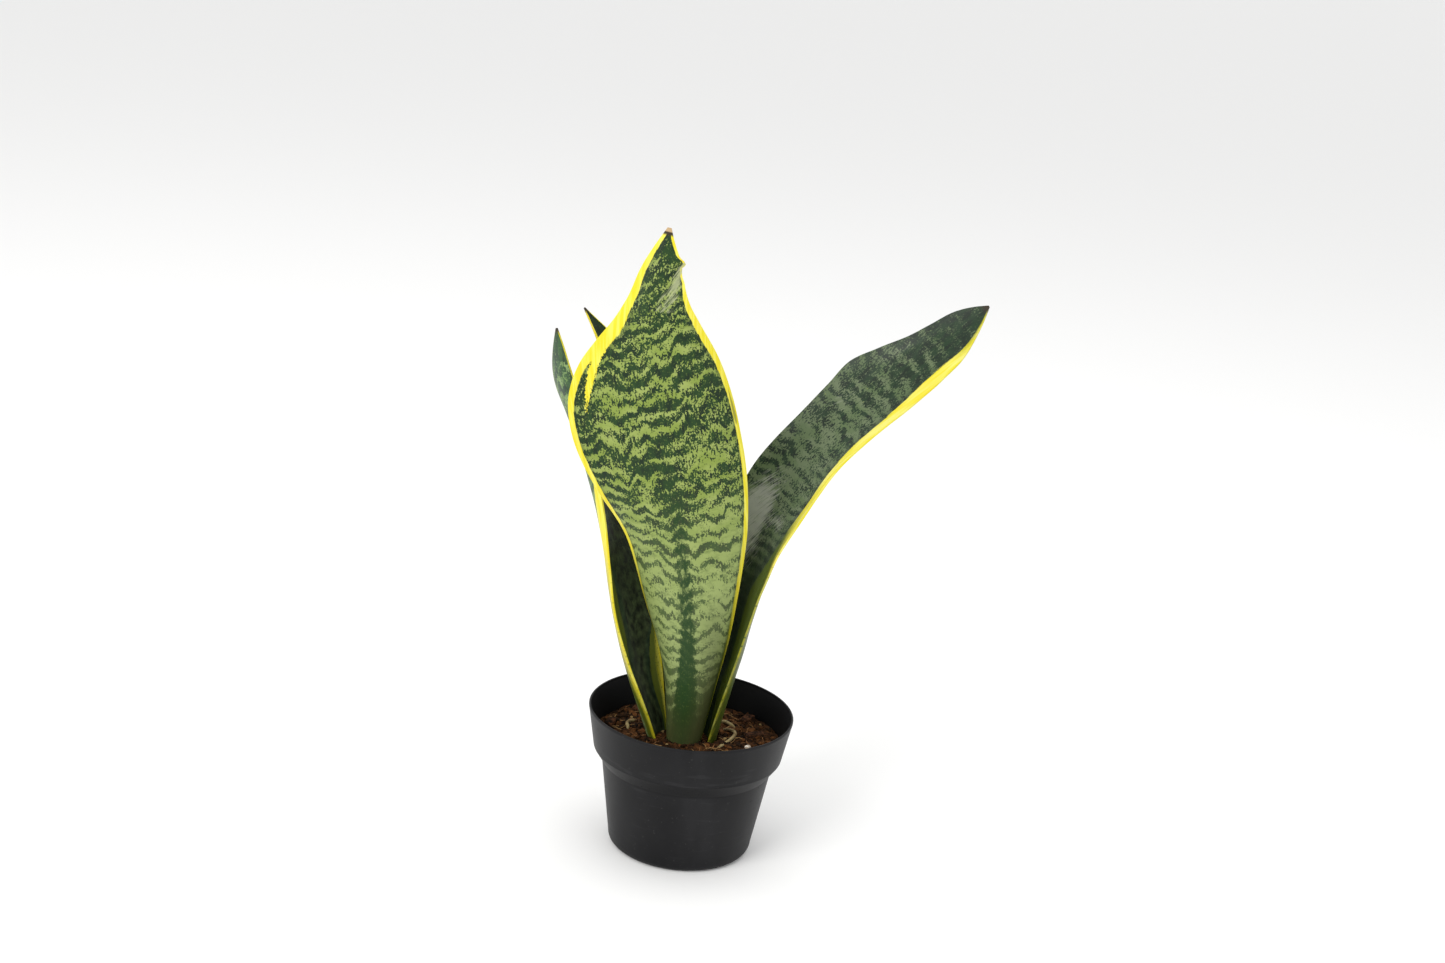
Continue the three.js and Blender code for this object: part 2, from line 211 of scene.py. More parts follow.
def finish_mesh(mesh: Mesh, sharp_degrees: float = 40) -> None:
    """Shade a mesh smooth, apart from its sharp corners.

    Args:
        mesh: The mesh to shade.
        sharp_degrees: The angle between two faces from which their edge stays sharp.
    """
    bm = bmesh.new()
    bm.from_mesh(mesh)
    limit = math.radians(sharp_degrees)
    for face in bm.faces:
        face.smooth = True
    for edge in bm.edges:
        edge.smooth = edge.calc_face_angle(0) < limit
    bm.to_mesh(mesh)
    bm.free()


def object_from(bm: BMesh, name: str) -> Object:
    """Turn a bmesh into an object of the scene.

    Args:
        bm: The shape, which is freed.
        name: The object's name.

    Returns:
        The new object.
    """
    mesh = bpy.data.meshes.new(name)
    bm.to_mesh(mesh)
    bm.free()
    made = bpy.data.objects.new(name, mesh)
    bpy.context.scene.collection.objects.link(made)
    return made


def applied_mesh(shape: Object) -> Mesh:
    """Return an object's mesh with its modifiers applied."""
    depsgraph = bpy.context.evaluated_depsgraph_get()
    return bpy.data.meshes.new_from_object(shape.evaluated_get(depsgraph))


def piece_from(
    bm: BMesh,
    name: str,
    slot: str,
    material: Material,
    stands_for: Sequence[str] = (),
    sharp_degrees: float = 40,
) -> Object:
    """Turn a bmesh into a piece of the plant that rides on its body.

    Args:
        bm: The shape, which is freed.
        name: The piece's name.
        slot: The record's material slot for the piece; not used.
        material: Its material.
        stands_for: The CAD nodes that it replaces.
        sharp_degrees: The angle from which an edge stays sharp.

    Returns:
        The new object.
    """
    piece = object_from(bm, name)
    finish_mesh(piece.data, sharp_degrees)
    piece.data.materials.append(material)
    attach(piece, BODY)
    if stands_for:
        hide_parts(*stands_for)
    log.info("%s: %d faces", name, len(piece.data.polygons))
    return piece


class Bench:
    """Places and joins the nodes of one shader tree."""

    def __init__(self, tree: NodeTree) -> None:
        """Take a tree to work on."""
        self.tree = tree
        self.count = 0

    def put(self, target: Socket, value: object) -> None:
        """Join a socket to another one, or set it.

        Args:
            target: The input socket.
            value: An output socket, a number, a colour or a vector.
        """
        if isinstance(value, Socket):
            self.tree.links.new(value, target)
        elif target.type == "RGBA" and len(value) == 3:
            target.default_value = (*value, 1.0)
        else:
            target.default_value = value

    def node(self, kind: str, settings: dict | None = None, **inputs: object) -> Node:
        """Add a node.

        Args:
            kind: Its type, without the ShaderNode in front.
            settings: Its own settings.
            inputs: Its sockets by name, with _ for a space, or i0, i1 for their order.

        Returns:
            The node.
        """
        made = self.tree.nodes.new("ShaderNode" + kind)
        made.location = (180 * (self.count % 8), -200 * (self.count // 8))
        self.count += 1
        for key, value in (settings or {}).items():
            setattr(made, key, value)
        for key, value in inputs.items():
            by_order = key[0] == "i" and key[1:].isdigit()
            self.put(made.inputs[int(key[1:]) if by_order else key.replace("_", " ")], value)
        return made

    def calc(self, operation: str, *values: object, clamp: bool = False) -> Socket:
        """Return a Math node's result on some values."""
        settings = {"operation": operation, "use_clamp": clamp}
        return self.node("Math", settings, **{f"i{i}": v for i, v in enumerate(values)}).outputs[0]

    def plus(self, a: object, b: object) -> Socket:
        """Return a plus b."""
        return self.calc("ADD", a, b)

    def minus(self, a: object, b: object) -> Socket:
        """Return a less b."""
        return self.calc("SUBTRACT", a, b)

    def times(self, a: object, b: object) -> Socket:
        """Return a times b."""
        return self.calc("MULTIPLY", a, b)

    def mad(self, a: object, b: object, c: object, clamp: bool = False) -> Socket:
        """Return a times b plus c."""
        return self.calc("MULTIPLY_ADD", a, b, c, clamp=clamp)

    def scaled(self, where: object, factors: tuple[float, float, float]) -> Socket:
        """Return a vector with each of its parts multiplied by a factor."""
        return self.node("VectorMath", {"operation": "MULTIPLY"}, i0=where, i1=factors).outputs[0]

    def step(self, value: object, low: object, high: object) -> Socket:
        """Return 0 below low, 1 above high and a smooth ramp between them."""
        settings = {"interpolation_type": "SMOOTHSTEP"}
        return self.node("MapRange", settings, Value=value, From_Min=low, From_Max=high).outputs[0]

    def plateau(self, value: object, rise: Range, fall: Range) -> Socket:
        """Return 1 between a smooth rise and a smooth fall, and 0 outside them."""
        falling = self.minus(1.0, self.step(value, *fall))
        return self.times(self.step(value, *rise), falling)

    def blend(self, share: object, a: object, b: object) -> Socket:
        """Return colour a turned into colour b by a share."""
        return self.node("Mix", {"data_type": "RGBA"}, i0=share, i6=a, i7=b).outputs[2]

    def cover(self, colour: object, over: object, mask: object, amount: float) -> Socket:
        """Return a colour that another one covers by an amount where a mask is."""
        return self.blend(self.times(mask, amount), colour, over)

    def grain(self, where: object, scale: float, detail: float = 2, rough: float = 0.5) -> Socket:
        """Return noise of about 0 to 1 at some places."""
        sockets = {"Vector": where, "Scale": scale, "Detail": detail, "Roughness": rough}
        return self.node("TexNoise", **sockets).outputs[0]

    def place(self) -> Socket:
        """Return the place on the piece, in metres."""
        return self.node("TexCoord").outputs["Object"]

    def attribute(self, name: str) -> Node:
        """Return a node that reads one of the mesh's own attributes."""
        return self.node("Attribute", {"attribute_name": name, "attribute_type": "GEOMETRY"})

    def dress(
        self,
        skin: Node,
        colour: object,
        roughness: object,
        height: object,
        bump: tuple[float, float],
        specular: float,
    ) -> None:
        """Join a finish to its shader.

        Args:
            skin: The Principled shader.
            colour: The colour.
            roughness: The roughness.
            height: The height that the surface's relief follows.
            bump: The relief's strength, and its depth in metres.
            specular: The level of the gloss.
        """
        self.put(skin.inputs["Base Color"], colour)
        self.put(skin.inputs["Roughness"], roughness)
        skin.inputs["Specular IOR Level"].default_value = specular
        relief = self.node("Bump", Strength=bump[0], Distance=bump[1], Height=height)
        self.put(skin.inputs["Normal"], relief.outputs[0])


def shader_group(
    name: str,
    inputs: Sequence[tuple[str, str]],
    outputs: Sequence[tuple[str, str]],
    fill: Callable[[Bench, dict[str, Socket]], dict[str, Socket]],
) -> ShaderNodeTree:
    """Build a shader group once, or find it.

    Args:
        name: The group's name.
        inputs: The name and socket type of each input.
        outputs: The name and socket type of each output.
        fill: Builds the inside from a bench and the input sockets by name, and
            gives the output values by name.

    Returns:
        The group.
    """
    if name in bpy.data.node_groups:
        return bpy.data.node_groups[name]
    tree = bpy.data.node_groups.new(name, "ShaderNodeTree")
    for way, sockets in (("INPUT", inputs), ("OUTPUT", outputs)):
        for label, kind in sockets:
            tree.interface.new_socket(label, in_out=way, socket_type="NodeSocket" + kind)
    bench = Bench(tree)
    entry = tree.nodes.new("NodeGroupInput")
    leave = tree.nodes.new("NodeGroupOutput")
    results = fill(bench, {label: entry.outputs[label] for label, _ in inputs})
    for label, value in results.items():
        bench.put(leave.inputs[label], value)
    return tree


def new_material(name: str) -> tuple[Material, Bench, Node]:
    """Start a material.

    Args:
        name: The material's name.

    Returns:
        The material, a bench for its nodes and its Principled shader.
    """
    material = bpy.data.materials.new(name)
    material.use_nodes = True
    return material, Bench(material.node_tree), material.node_tree.nodes["Principled BSDF"]


# ------------------------------------------------------------------ leaf finish


class LeafGrain(Enum):
    """A leaf's noises: the size across and along in millimetres, detail and roughness."""

    ZIGZAG = (10.0, 60.0, 1.5, 0.5)
    SWAY = (26.0, 34.0, 2.0, 0.5)
    SERRATION = (1.15, 3.4, 2.5, 0.65)
    SPECK = (0.85, 1.1, 2.0, 0.6)
    MOTTLE = (0.9, 1.5, 2.0, 0.5)
    PALE_CLOUD = (14.0, 9.0, 3.0, 0.5)
    DEEP_CLOUD = (4.0, 9.0, 3.0, 0.5)
    BLUR = (4.5, 2.6, 4.0, 0.65)
    STRIPE_EDGE = (2.2, 4.0, 3.5, 0.65)
    SHADE_EDGE = (3.0, 5.0, 3.0, 0.5)
    THREAD = (1.1, 26.0, 2.0, 0.5)
    FRAY = (0.5, 1.6, 2.0, 0.6)
    BUTTER = (1.6, 30.0, 2.0, 0.5)
    AMBER = (9.0, 30.0, 2.0, 0.5)
    SCRATCH = (0.8, 9.0, 3.0, 0.5)
    RIDGE = (0.65, 40.0, 2.0, 0.5)
    PORE = (0.35, 0.35, 2.0, 0.5)
    SHEEN = (5.0, 9.0, 3.0, 0.5)


class LeafMarkings:
    """Draws a snake plant leaf's bands, margins, wear and painted shade inside a shader group."""

    PATCH_WIDTH = 15.0  # millimetres across, of the patches that follow the bands
    PATCHES_A_BAND = 1.5
    SWAY_REACH = 14.0  # millimetres
    SCRATCH_SLANT = math.radians(26)

    def __init__(self, b: Bench, given: dict[str, Socket]) -> None:
        """Split the leaf's layers and draw the noises that several markings share.

        Args:
            b: The group's bench.
            given: The group's input sockets by name.
        """
        self.b = b
        self.given = given
        self.blade = b.scaled(given["Blade"], (1.0, 1.0, 0.0))
        self.across, _, self.stripe = b.node("SeparateXYZ", Vector=given["Blade"]).outputs
        self.edge, self.streak, self.lean = b.node("SeparateXYZ", Vector=given["Zones"]).outputs
        self.shade, self.tip, self.chalk = b.node("SeparateXYZ", Vector=given["Wear"]).outputs
        self.course, self.olive, self.low = b.node("SeparateXYZ", Vector=given["Course"]).outputs
        self.serrate = self.spread(LeafGrain.SERRATION)
        self.speck = self.spread(LeafGrain.SPECK)
        self.mottle = self.spread(LeafGrain.MOTTLE)
        self.thread = self.spread(LeafGrain.THREAD)

    @classmethod
    def fill(cls, b: Bench, given: dict[str, Socket]) -> dict[str, Socket]:
        """Fill the group and return its output values by name."""
        return cls(b, given).outputs()

    def spread(self, grain: LeafGrain, blade: Socket | None = None) -> Socket:
        """Draw one of the leaf's noises.

        Args:
            grain: The noise.
            blade: The place on the blade, where it isn't the plain one.

        Returns:
            A value of about -0.5 to 0.5.
        """
        across, along, detail, rough = grain.value
        place = self.blade if blade is None else blade
        where = self.b.scaled(place, (1 / across, 1 / along, 1.0))
        return self.b.minus(self.b.grain(where, 1.0, detail, rough), 0.5)

    def bands(self) -> tuple[Socket, Socket]:
        """Draw zigzag cross bands with ragged, streaky ends, calmer near the foot.

        Returns:
            The wave that the bands follow, and the share of the light colour.
        """
        b, given = self.b, self.given
        zigzag = b.times(self.spread(LeafGrain.ZIGZAG), given["Zigzag"])
        sway = b.mad(self.spread(LeafGrain.SWAY), self.SWAY_REACH, zigzag)
        phase = b.plus(self.course, b.calc("DIVIDE", sway, given["Band Pitch"]))
        wave = b.calc("SINE", b.times(phase, math.tau))
        lane_x = b.calc("DIVIDE", self.across, self.PATCH_WIDTH)
        lane = b.node("CombineXYZ", X=lane_x, Y=b.times(phase, self.PATCHES_A_BAND), Z=0.0)
        patch = b.minus(b.grain(lane.outputs[0], 1.0), 0.5)
        calm = b.mad(self.low, -0.3, 1.0)
        total = b.times(wave, b.times(b.mad(self.low, 0.35, 1.0), given["Regular"]))
        marks = ((patch, "Patchy"), (self.serrate, "Ragged"), (self.speck, "Speckle"))
        for mark, strength in marks:
            total = b.mad(mark, b.times(calm, given[strength]), total)
        soft = b.times(given["Softness"], b.mad(self.low, 1.6, 1.0))
        return wave, b.step(b.plus(total, self.lean), b.times(soft, -1.0), soft)

    def green(self, wave: Socket, banded: Socket) -> Socket:
        """Colour the bands, the dark centre stripe and the painted shade.

        Args:
            wave: The wave that the bands follow.
            banded: The share of the light colour.

        Returns:
            The colour of the blade without its margins.
        """
        b, given, low = self.b, self.given, self.low
        pale = b.step(self.spread(LeafGrain.PALE_CLOUD), -0.16, 0.16)
        light = b.blend(low, b.blend(pale, given["Light"], given["Pale"]), given["Low"])
        blur = b.step(self.spread(LeafGrain.BLUR), -0.04, 0.24)
        light = b.blend(b.times(blur, b.mad(low, 0.5, 0.14)), light, given["Dark"])
        deep = b.step(self.spread(LeafGrain.DEEP_CLOUD), -0.12, 0.14)
        mottle = b.step(self.mottle, 0.08, 0.2)
        dark = b.blend(deep, given["Dark"], given["Deep"])
        dark = b.cover(dark, given["Light"], mottle, 0.30)
        dark = b.cover(dark, given["Low"], low, 0.26)
        ground = b.blend(banded, dark, light)
        core = b.mad(self.spread(LeafGrain.STRIPE_EDGE), 1.5, b.mad(wave, -0.08, self.stripe))
        core = b.times(b.step(core, 0.3, 0.68), b.step(self.stripe, 0.02, 0.3))
        stripe = b.cover(given["Dark"], given["Light"], mottle, 0.18)
        ground = b.cover(ground, stripe, core, 0.95)
        # painted shade: where the shade share is, the colour turns to the shading colour, with a
        # ragged edge
        ragged = self.spread(LeafGrain.SHADE_EDGE)
        shade = b.mad(ragged, b.times(self.shade, 0.6), self.shade, clamp=True)
        return b.blend(shade, ground, given["Inner"])

    def margins(self, ground: Socket) -> Socket:
        """Lay the yellow margins and streaks over the green, with a dark seam.

        Args:
            ground: The colour of the blade without its margins.

        Returns:
            The colour with them.
        """
        b, given = self.b, self.given
        edge = b.mad(self.spread(LeafGrain.FRAY), 0.14, b.mad(self.thread, 0.30, self.edge))
        margin = b.minus(1.0, b.step(edge, 0.95, 1.05))
        ground = b.cover(ground, given["Deep"], b.plateau(edge, (1.0, 1.1), (1.2, 1.7)), 0.4)
        wisp = b.mad(self.thread, 0.5, self.streak)
        wisp = b.step(b.mad(b.plus(self.serrate, self.speck), 1.1, wisp), 0.4, 0.56)
        butter = b.step(self.spread(LeafGrain.BUTTER), -0.1, 0.14)
        yellow = b.blend(butter, given["Yellow"], given["Butter"])
        amber = b.step(self.spread(LeafGrain.AMBER), 0.02, 0.2)
        yellow = b.cover(yellow, given["Amber"], amber, 0.3)
        freckle = b.mad(b.step(self.mottle, 0.06, 0.2), 0.35, 0.1)
        inward = b.mad(edge, 1.5, freckle)
        over = b.calc("MAXIMUM", b.minus(self.olive, 1.0), 0.0)
        yellow = b.blend(b.mad(inward, self.olive, over, clamp=True), yellow, given["Olive"])
        colour = b.blend(b.calc("MAXIMUM", margin, wisp), ground, yellow)
        line = b.step(b.mad(self.thread, -0.5, b.times(self.streak, -1.0)), 0.35, 0.7)
        return b.cover(colour, given["Dark"], line, 0.6)

    def wear(self, colour: Socket) -> Socket:
        """Add the chalky scratches and the dry tip.

        Args:
            colour: The colour of the fresh blade.

        Returns:
            The colour with them.
        """
        b, given = self.b, self.given
        turned = {"Vector": self.blade, "Angle": self.SCRATCH_SLANT}
        slant = b.node("VectorRotate", {"rotation_type": "Z_AXIS"}, **turned).outputs[0]
        scratch = b.mad(self.spread(LeafGrain.SCRATCH, slant), given["Chalk Streaks"], self.chalk)
        chalk = b.times(b.step(scratch, 0.3, 1.0), b.step(self.chalk, 0.0, 0.25))
        colour = b.cover(colour, given["Chalk"], chalk, 0.8)
        colour = b.blend(b.step(self.tip, 0.05, 0.45), colour, given["Scorch"])
        return b.blend(b.step(self.tip, 0.6, 0.8), colour, given["Dry"])

    def outputs(self) -> dict[str, Socket]:
        """Draw everything.

        Returns:
            The colour, the height and the roughness.
        """
        b = self.b
        wave, banded = self.bands()
        colour = self.wear(self.margins(self.green(wave, banded)))
        height = b.mad(self.spread(LeafGrain.RIDGE), 0.7, b.times(self.spread(LeafGrain.PORE), 0.3))
        gloss = b.mad(self.spread(LeafGrain.SHEEN), 0.25, self.given["Roughness"])
        return {
            "Color": colour,
            "Height": b.mad(banded, 0.12, height),
            "Roughness": b.mad(self.tip, 0.35, gloss),
        }


@dataclass(frozen=True)
class LeafFinish:
    """The colours and bands of one leaf; lengths are millimetres.

    inner_shade is the share of painted shade, in the shading colour, on the upper face,
    where it stands in for the shade in the leaf's hollow. Every value after it is an
    input of the markings' shader group.
    """

    name: str
    inner_shade: float = 0.0
    light: Colour = (0.19, 0.255, 0.045)
    pale: Colour = (0.26, 0.32, 0.085)
    low: Colour = (0.25, 0.31, 0.115)
    dark: Colour = (0.013, 0.040, 0.008)
    deep: Colour = (0.006, 0.019, 0.006)
    yellow: Colour = (0.66, 0.57, 0.018)
    butter: Colour = (0.72, 0.66, 0.09)
    amber: Colour = (0.74, 0.52, 0.02)
    olive: Colour = (0.075, 0.095, 0.008)
    chalk: Colour = (0.34, 0.37, 0.20)
    scorch: Colour = (0.030, 0.022, 0.012)
    dry: Colour = (0.44, 0.31, 0.17)
    # colour of the painted shade
    inner: Colour = (0.0045, 0.0065, 0.0035)
    zigzag: float = 24.0
    band_pitch: float = 10.0
    regular: float = 0.14
    patchy: float = 1.5
    ragged: float = 1.4
    speckle: float = 1.3
    softness: float = 0.035
    chalk_streaks: float = 2.6
    roughness: float = 0.42

    LAYERS = ("Blade", "Zones", "Wear", "Course")

    def material(self) -> Material:
        """Build the leaf's material.

        Returns:
            The material.
        """
        own = [f.name for f in fields(self) if f.name not in ("name", "inner_shade")]
        values = {name.replace("_", " ").title(): getattr(self, name) for name in own}
        kinds = [(n, "Color" if isinstance(v, tuple) else "Float") for n, v in values.items()]
        inputs = [(layer, "Vector") for layer in self.LAYERS] + kinds
        outputs = (("Color", "Color"), ("Height", "Float"), ("Roughness", "Float"))
        group = shader_group("snake_leaf_markings", inputs, outputs, LeafMarkings.fill)
        material, b, skin = new_material(self.name)
        for layer in self.LAYERS:
            values[layer] = b.attribute(layer.lower()).outputs["Vector"]
        marks = b.node("Group", {"node_tree": group}, **values).outputs
        bump = (0.35, 0.0004)
        b.dress(skin, marks["Color"], marks["Roughness"], marks["Height"], bump, specular=0.22)
        return material


# ------------------------------------------------------------------ leaves


Step = tuple[float, float, float, float]
Halves = dict[int, list[Step]]
LEVEL: Rows = ((0.0, 0.0), (1.0, 0.0))


@dataclass(frozen=True)
class Station:
    """Where a leaf's blade is at one place along it."""

    point: Vector
    across: Vector
    facing: Vector


@dataclass(frozen=True)
class Streak:
    """A long stripe in the blade; yellow, or dark where dark is set.

    Rows hold the share of the length, the arc from the spine and the half width,
    both in millimetres. fade is the share of the length over which it sets in.
    """

    rows: Rows
    dark: bool = False
    fade: float = 0.0

    HAIRLINE = 0.05  # millimetres: a narrower stripe isn't drawn
    CORE = 1.25

    def strength(self, at: float, arc: float) -> float:
        """Work out how strong the stripe is at a place.

        Args:
            at: The share of the leaf's length.
            arc: The distance from the spine along the surface, in millimetres.

        Returns:
            More than 1 on its middle line and 0 off it; negative when dark.
        """
        if not self.rows[0][0] <= at <= self.rows[-1][0]:
            return 0.0
        centre, reach = smooth(self.rows, at)
        if reach < self.HAIRLINE:
            return 0.0
        value = max(0.0, self.CORE - abs(arc - centre) / reach)
        if self.fade:
            value *= min(1.0, (at - self.rows[0][0]) / self.fade)
        return -value if self.dark else value


@dataclass(frozen=True)
class Patch:
    """A soft patch in the blade, by shares of its length and half width."""

    at: float
    u: float
    reach_at: float
    reach_u: float
    strength: float = 1.0

    def depth(self, at: float, u: float) -> float:
        """Return how deep in the patch a place is."""
        return self.strength * hump(at, self.at, self.reach_at) * hump(u, self.u, self.reach_u)


@dataclass
class Leaf:
    """One leaf: a blade round a spine, as the CAD frame holds it; millimetres.

    Rows start with the share of the leaf's length. spine holds x, y and the share
    of the height; left and right hold the share of the half width; turn, hollow
    and roll hold degrees; yellow_left and yellow_right hold the yellow margin's
    width; lighter holds how far the bands lean to the light colour, stripe the
    strength and half width of the dark centre stripe, olive the share of olive in
    the margins, low the share of the grey green of the foot, bands how many bands lie
    below a place, and sag how many bands the left and the right half slant by over
    100 mm across. Patches are chalky, tones lean to the light colour and shades
    are painted shade in the finish's shading colour. stretch is the blade's length over the height.
    """

    node: str
    height: float
    half_width: float
    spine: Rows
    left: Rows
    right: Rows
    turn: Rows
    hollow: Rows
    finish: LeafFinish
    yellow_right: Rows
    yellow_left: Rows = LEVEL
    roll: Rows = ((0.0, 0.0, 0.0), (1.0, 0.0, 0.0))
    lighter: Rows = LEVEL
    stripe: Rows = ((0.0, 0.0, 5.0), (1.0, 0.0, 5.0))
    olive: Rows = ((0.0, 0.6), (0.3, 0.3), (0.5, 0.0), (1.0, 0.0))
    low: Rows = ((0.0, 1.0), (0.2, 0.9), (0.5, 0.0), (1.0, 0.0))
    bands: Rows = ((0.0, 0.0), (1.0, 29.0))
    sag: Rows = ((0.0, 0.0, 0.0), (1.0, 0.0, 0.0))
    streaks: tuple[Streak, ...] = ()
    patches: tuple[Patch, ...] = ()
    tones: tuple[Patch, ...] = ()
    shades: tuple[Patch, ...] = ()
    set_depth: float = 12.0
    base_thickness: float = 5.0
    tip_thickness: float = 1.0
    margin_thickness: float = 1.0
    rim_rounding: float = 0.3
    half_columns: int = 24
    stations: int = 190
    waviness: float = 0.5
    stretch: float = 1.04
    dry_tip: float = 0.02
    tip_scorch: float = 0.45
    seed: float = 1.0

    ROLL_FROM = 0.55  # share of the half width
    HAIRLINE = 0.06  # millimetres: a narrower margin isn't yellow
    NO_MARGIN = 9.0
    PATTERN_SHIFT = 200.0  # millimetres from one leaf's pattern to the next
    STRIPE_LEAN = -0.25
    UNDERSIDE_CHALK = 0.15
    TIP_CROWDING = 1.15
    THINNING = 0.6
    RIM_ANGLE = math.radians(55)
    CALM_FOOT, CALM_TIP = 1 / 6, 1 / 8  # shares of the length without full ripples
    WAVES = (7.0, 1.3)  # ripples along the blade and across half of it

    def spine_point(self, at: float) -> Vector:
        """Work out the spine's place.

        Args:
            at: The share of its length.

        Returns:
            The place, in millimetres.
        """
        rows = []
        for share, x, y, *rise in self.spine:
            z = MIX_TOP + rise[0] * self.height if rise else MIX_TOP - self.set_depth
            rows.append((share, x, y, z))
        return Vector(smooth(tuple(rows), at))

    def station(self, at: float) -> Station:
        """Work out the blade's place and directions.

        Args:
            at: The share of the leaf's length.

        Returns:
            The station.
        """
        step = 1e-3
        ahead, behind = self.spine_point(min(at + step, 1)), self.spine_point(max(at - step, 0))
        along = (ahead - behind).normalized()
        across = along.cross(Vector((0, -1, 0))).normalized()
        facing = across.cross(along)
        turn = math.radians(smooth(self.turn, at)[0])
        return Station(
            self.spine_point(at),
            across * math.cos(turn) + facing * math.sin(turn),
            facing * math.cos(turn) - across * math.sin(turn),
        )

    def width(self, at: float, side: int) -> float:
        """Return the half blade's width on one side, which rounds off at the tip."""
        return smooth(self.left if side < 0 else self.right, at)[0] * self.half_width

    def half_section(self, at: float, side: int) -> list[Step]:
        """Work out one half of a cross-section.

        Args:
            at: The share of the leaf's length.
            side: -1 for the left half, 1 for the right half.

        Returns:
            At each step from the spine to the margin: the distance across, the
            distance forward, the heading in radians and the arc length.
        """
        hollow = smooth(self.hollow, at)[0]
        roll = smooth(self.roll, at)[0 if side < 0 else 1]
        width = self.width(at, side)
        steps = self.half_columns
        x = y = 0.0
        out = [(0.0, 0.0, 0.0, 0.0)]
        for i in range(1, steps + 1):
            headings = []
            for u in ((i - 0.5) / steps, i / steps):
                curl = roll * max(0.0, (u - self.ROLL_FROM) / (1 - self.ROLL_FROM)) ** 1.5
                headings.append(math.radians(hollow / 2 * u + curl))
            x += side * width / steps * math.cos(headings[0])
            y += width / steps * math.sin(headings[0])
            out.append((x, y, headings[1], width * i / steps))
        return out

    def halves(self, at: float) -> Halves:
        """Return both half sections at a share of the leaf's length."""
        return {side: self.half_section(at, side) for side in (-1, 1)}

    def step_at(self, halves: Halves, u: float) -> Step:
        """Return the step of the half sections that lies at a share across."""
        return halves[-1 if u < 0 else 1][round(abs(u) * self.half_columns)]

    def ripple(self, at: float, u: float) -> float:
        """Work out how far the blade stands out of its smooth shape.

        Args:
            at: The share of the leaf's length.
            u: The share across.

        Returns:
            The distance, in millimetres.
        """
        near_margin = 0.25 + 0.75 * u * u
        fade = min(1.0, at / self.CALM_FOOT) * min(1.0, (1 - at) / self.CALM_TIP)
        waves, folds = self.WAVES
        wave = sheet_noise(at * waves, u * folds, self.seed, 2)
        return self.waviness * near_margin * fade * wave

    def place(self, at: float, u: float, skin: int, halves: Halves) -> Vector:
        """Work out a point of the blade's surface.

        Args:
            at: The share of the leaf's length.
            u: The share across, -1 at the left margin and 1 at the right one.
            skin: 1 for the upper face, -1 for the lower one.
            halves: Both half sections at this place.

        Returns:
            The point, in millimetres.
        """
        station = self.station(at)
        side = -1 if u < 0 else 1
        x, y, heading, _ = self.step_at(halves, u)
        thinned = (self.tip_thickness - self.base_thickness) * at**self.THINNING
        middle = self.base_thickness + thinned
        half = (self.margin_thickness + (middle - self.margin_thickness) * (1 - u * u)) / 2
        lift = skin * half + self.ripple(at, u)
        x += -side * math.sin(heading) * lift
        y += math.cos(heading) * lift
        return station.point + station.across * x + station.facing * y

    def marks(self, at: float, u: float, arc: float, skin: int) -> tuple[Vector, ...]:
        """Work out what the leaf's finish reads at one point.

        Args:
            at: The share of the leaf's length.
            u: The share across.
            arc: The distance from the spine along the surface.
            skin: 1 for the upper face, -1 for the lower one.

        Returns:
            The blade, zones, painted shade and wear, and course vectors.
        """
        side = -1 if u < 0 else 1
        out = side * arc
        yellow = smooth(self.yellow_left if side < 0 else self.yellow_right, at)[0]
        inward = self.width(at, side) - arc
        to_margin = inward / yellow if yellow > self.HAIRLINE else self.NO_MARGIN
        streak = sum(one.strength(at, out) for one in self.streaks)
        strength, reach = smooth(self.stripe, at)
        stripe = strength * math.exp(-((out / reach) ** 4))
        lighter = smooth(self.lighter, at)[0] + self.STRIPE_LEAN * stripe
        lighter += sum(tone.depth(at, u) for tone in self.tones)
        scorched = (at - 1 + self.dry_tip) / (0.8 * self.dry_tip)
        tip = self.tip_scorch * max(0.0, min(1.0, scorched))
        chalk = self.crease(at, u) * (1.0 if skin > 0 else self.UNDERSIDE_CHALK)
        sag_left, sag_right = smooth(self.sag, at)
        sag = (sag_left * min(0.0, out) + sag_right * max(0.0, out)) / 100
        bands, olive, low = (smooth(rows, at)[0] for rows in (self.bands, self.olive, self.low))
        return (
            Vector((out + self.PATTERN_SHIFT * self.seed, at * self.height * self.stretch, stripe)),
            Vector((to_margin, streak, lighter)),
            Vector((self.shade(at, u, skin), tip, chalk)),
            Vector((bands + sag, olive, low)),
        )

    def shade(self, at: float, u: float, skin: int) -> float:
        """Return the share of painted shade at a place."""
        share = self.finish.inner_shade if skin > 0 else 0.0
        return min(1.0, share + sum(patch.depth(at, u) for patch in self.shades))

    def crease(self, at: float, u: float) -> float:
        """Return how chalky the blade is at a place."""
        return min(1.0, sum(patch.depth(at, u) for patch in self.patches))

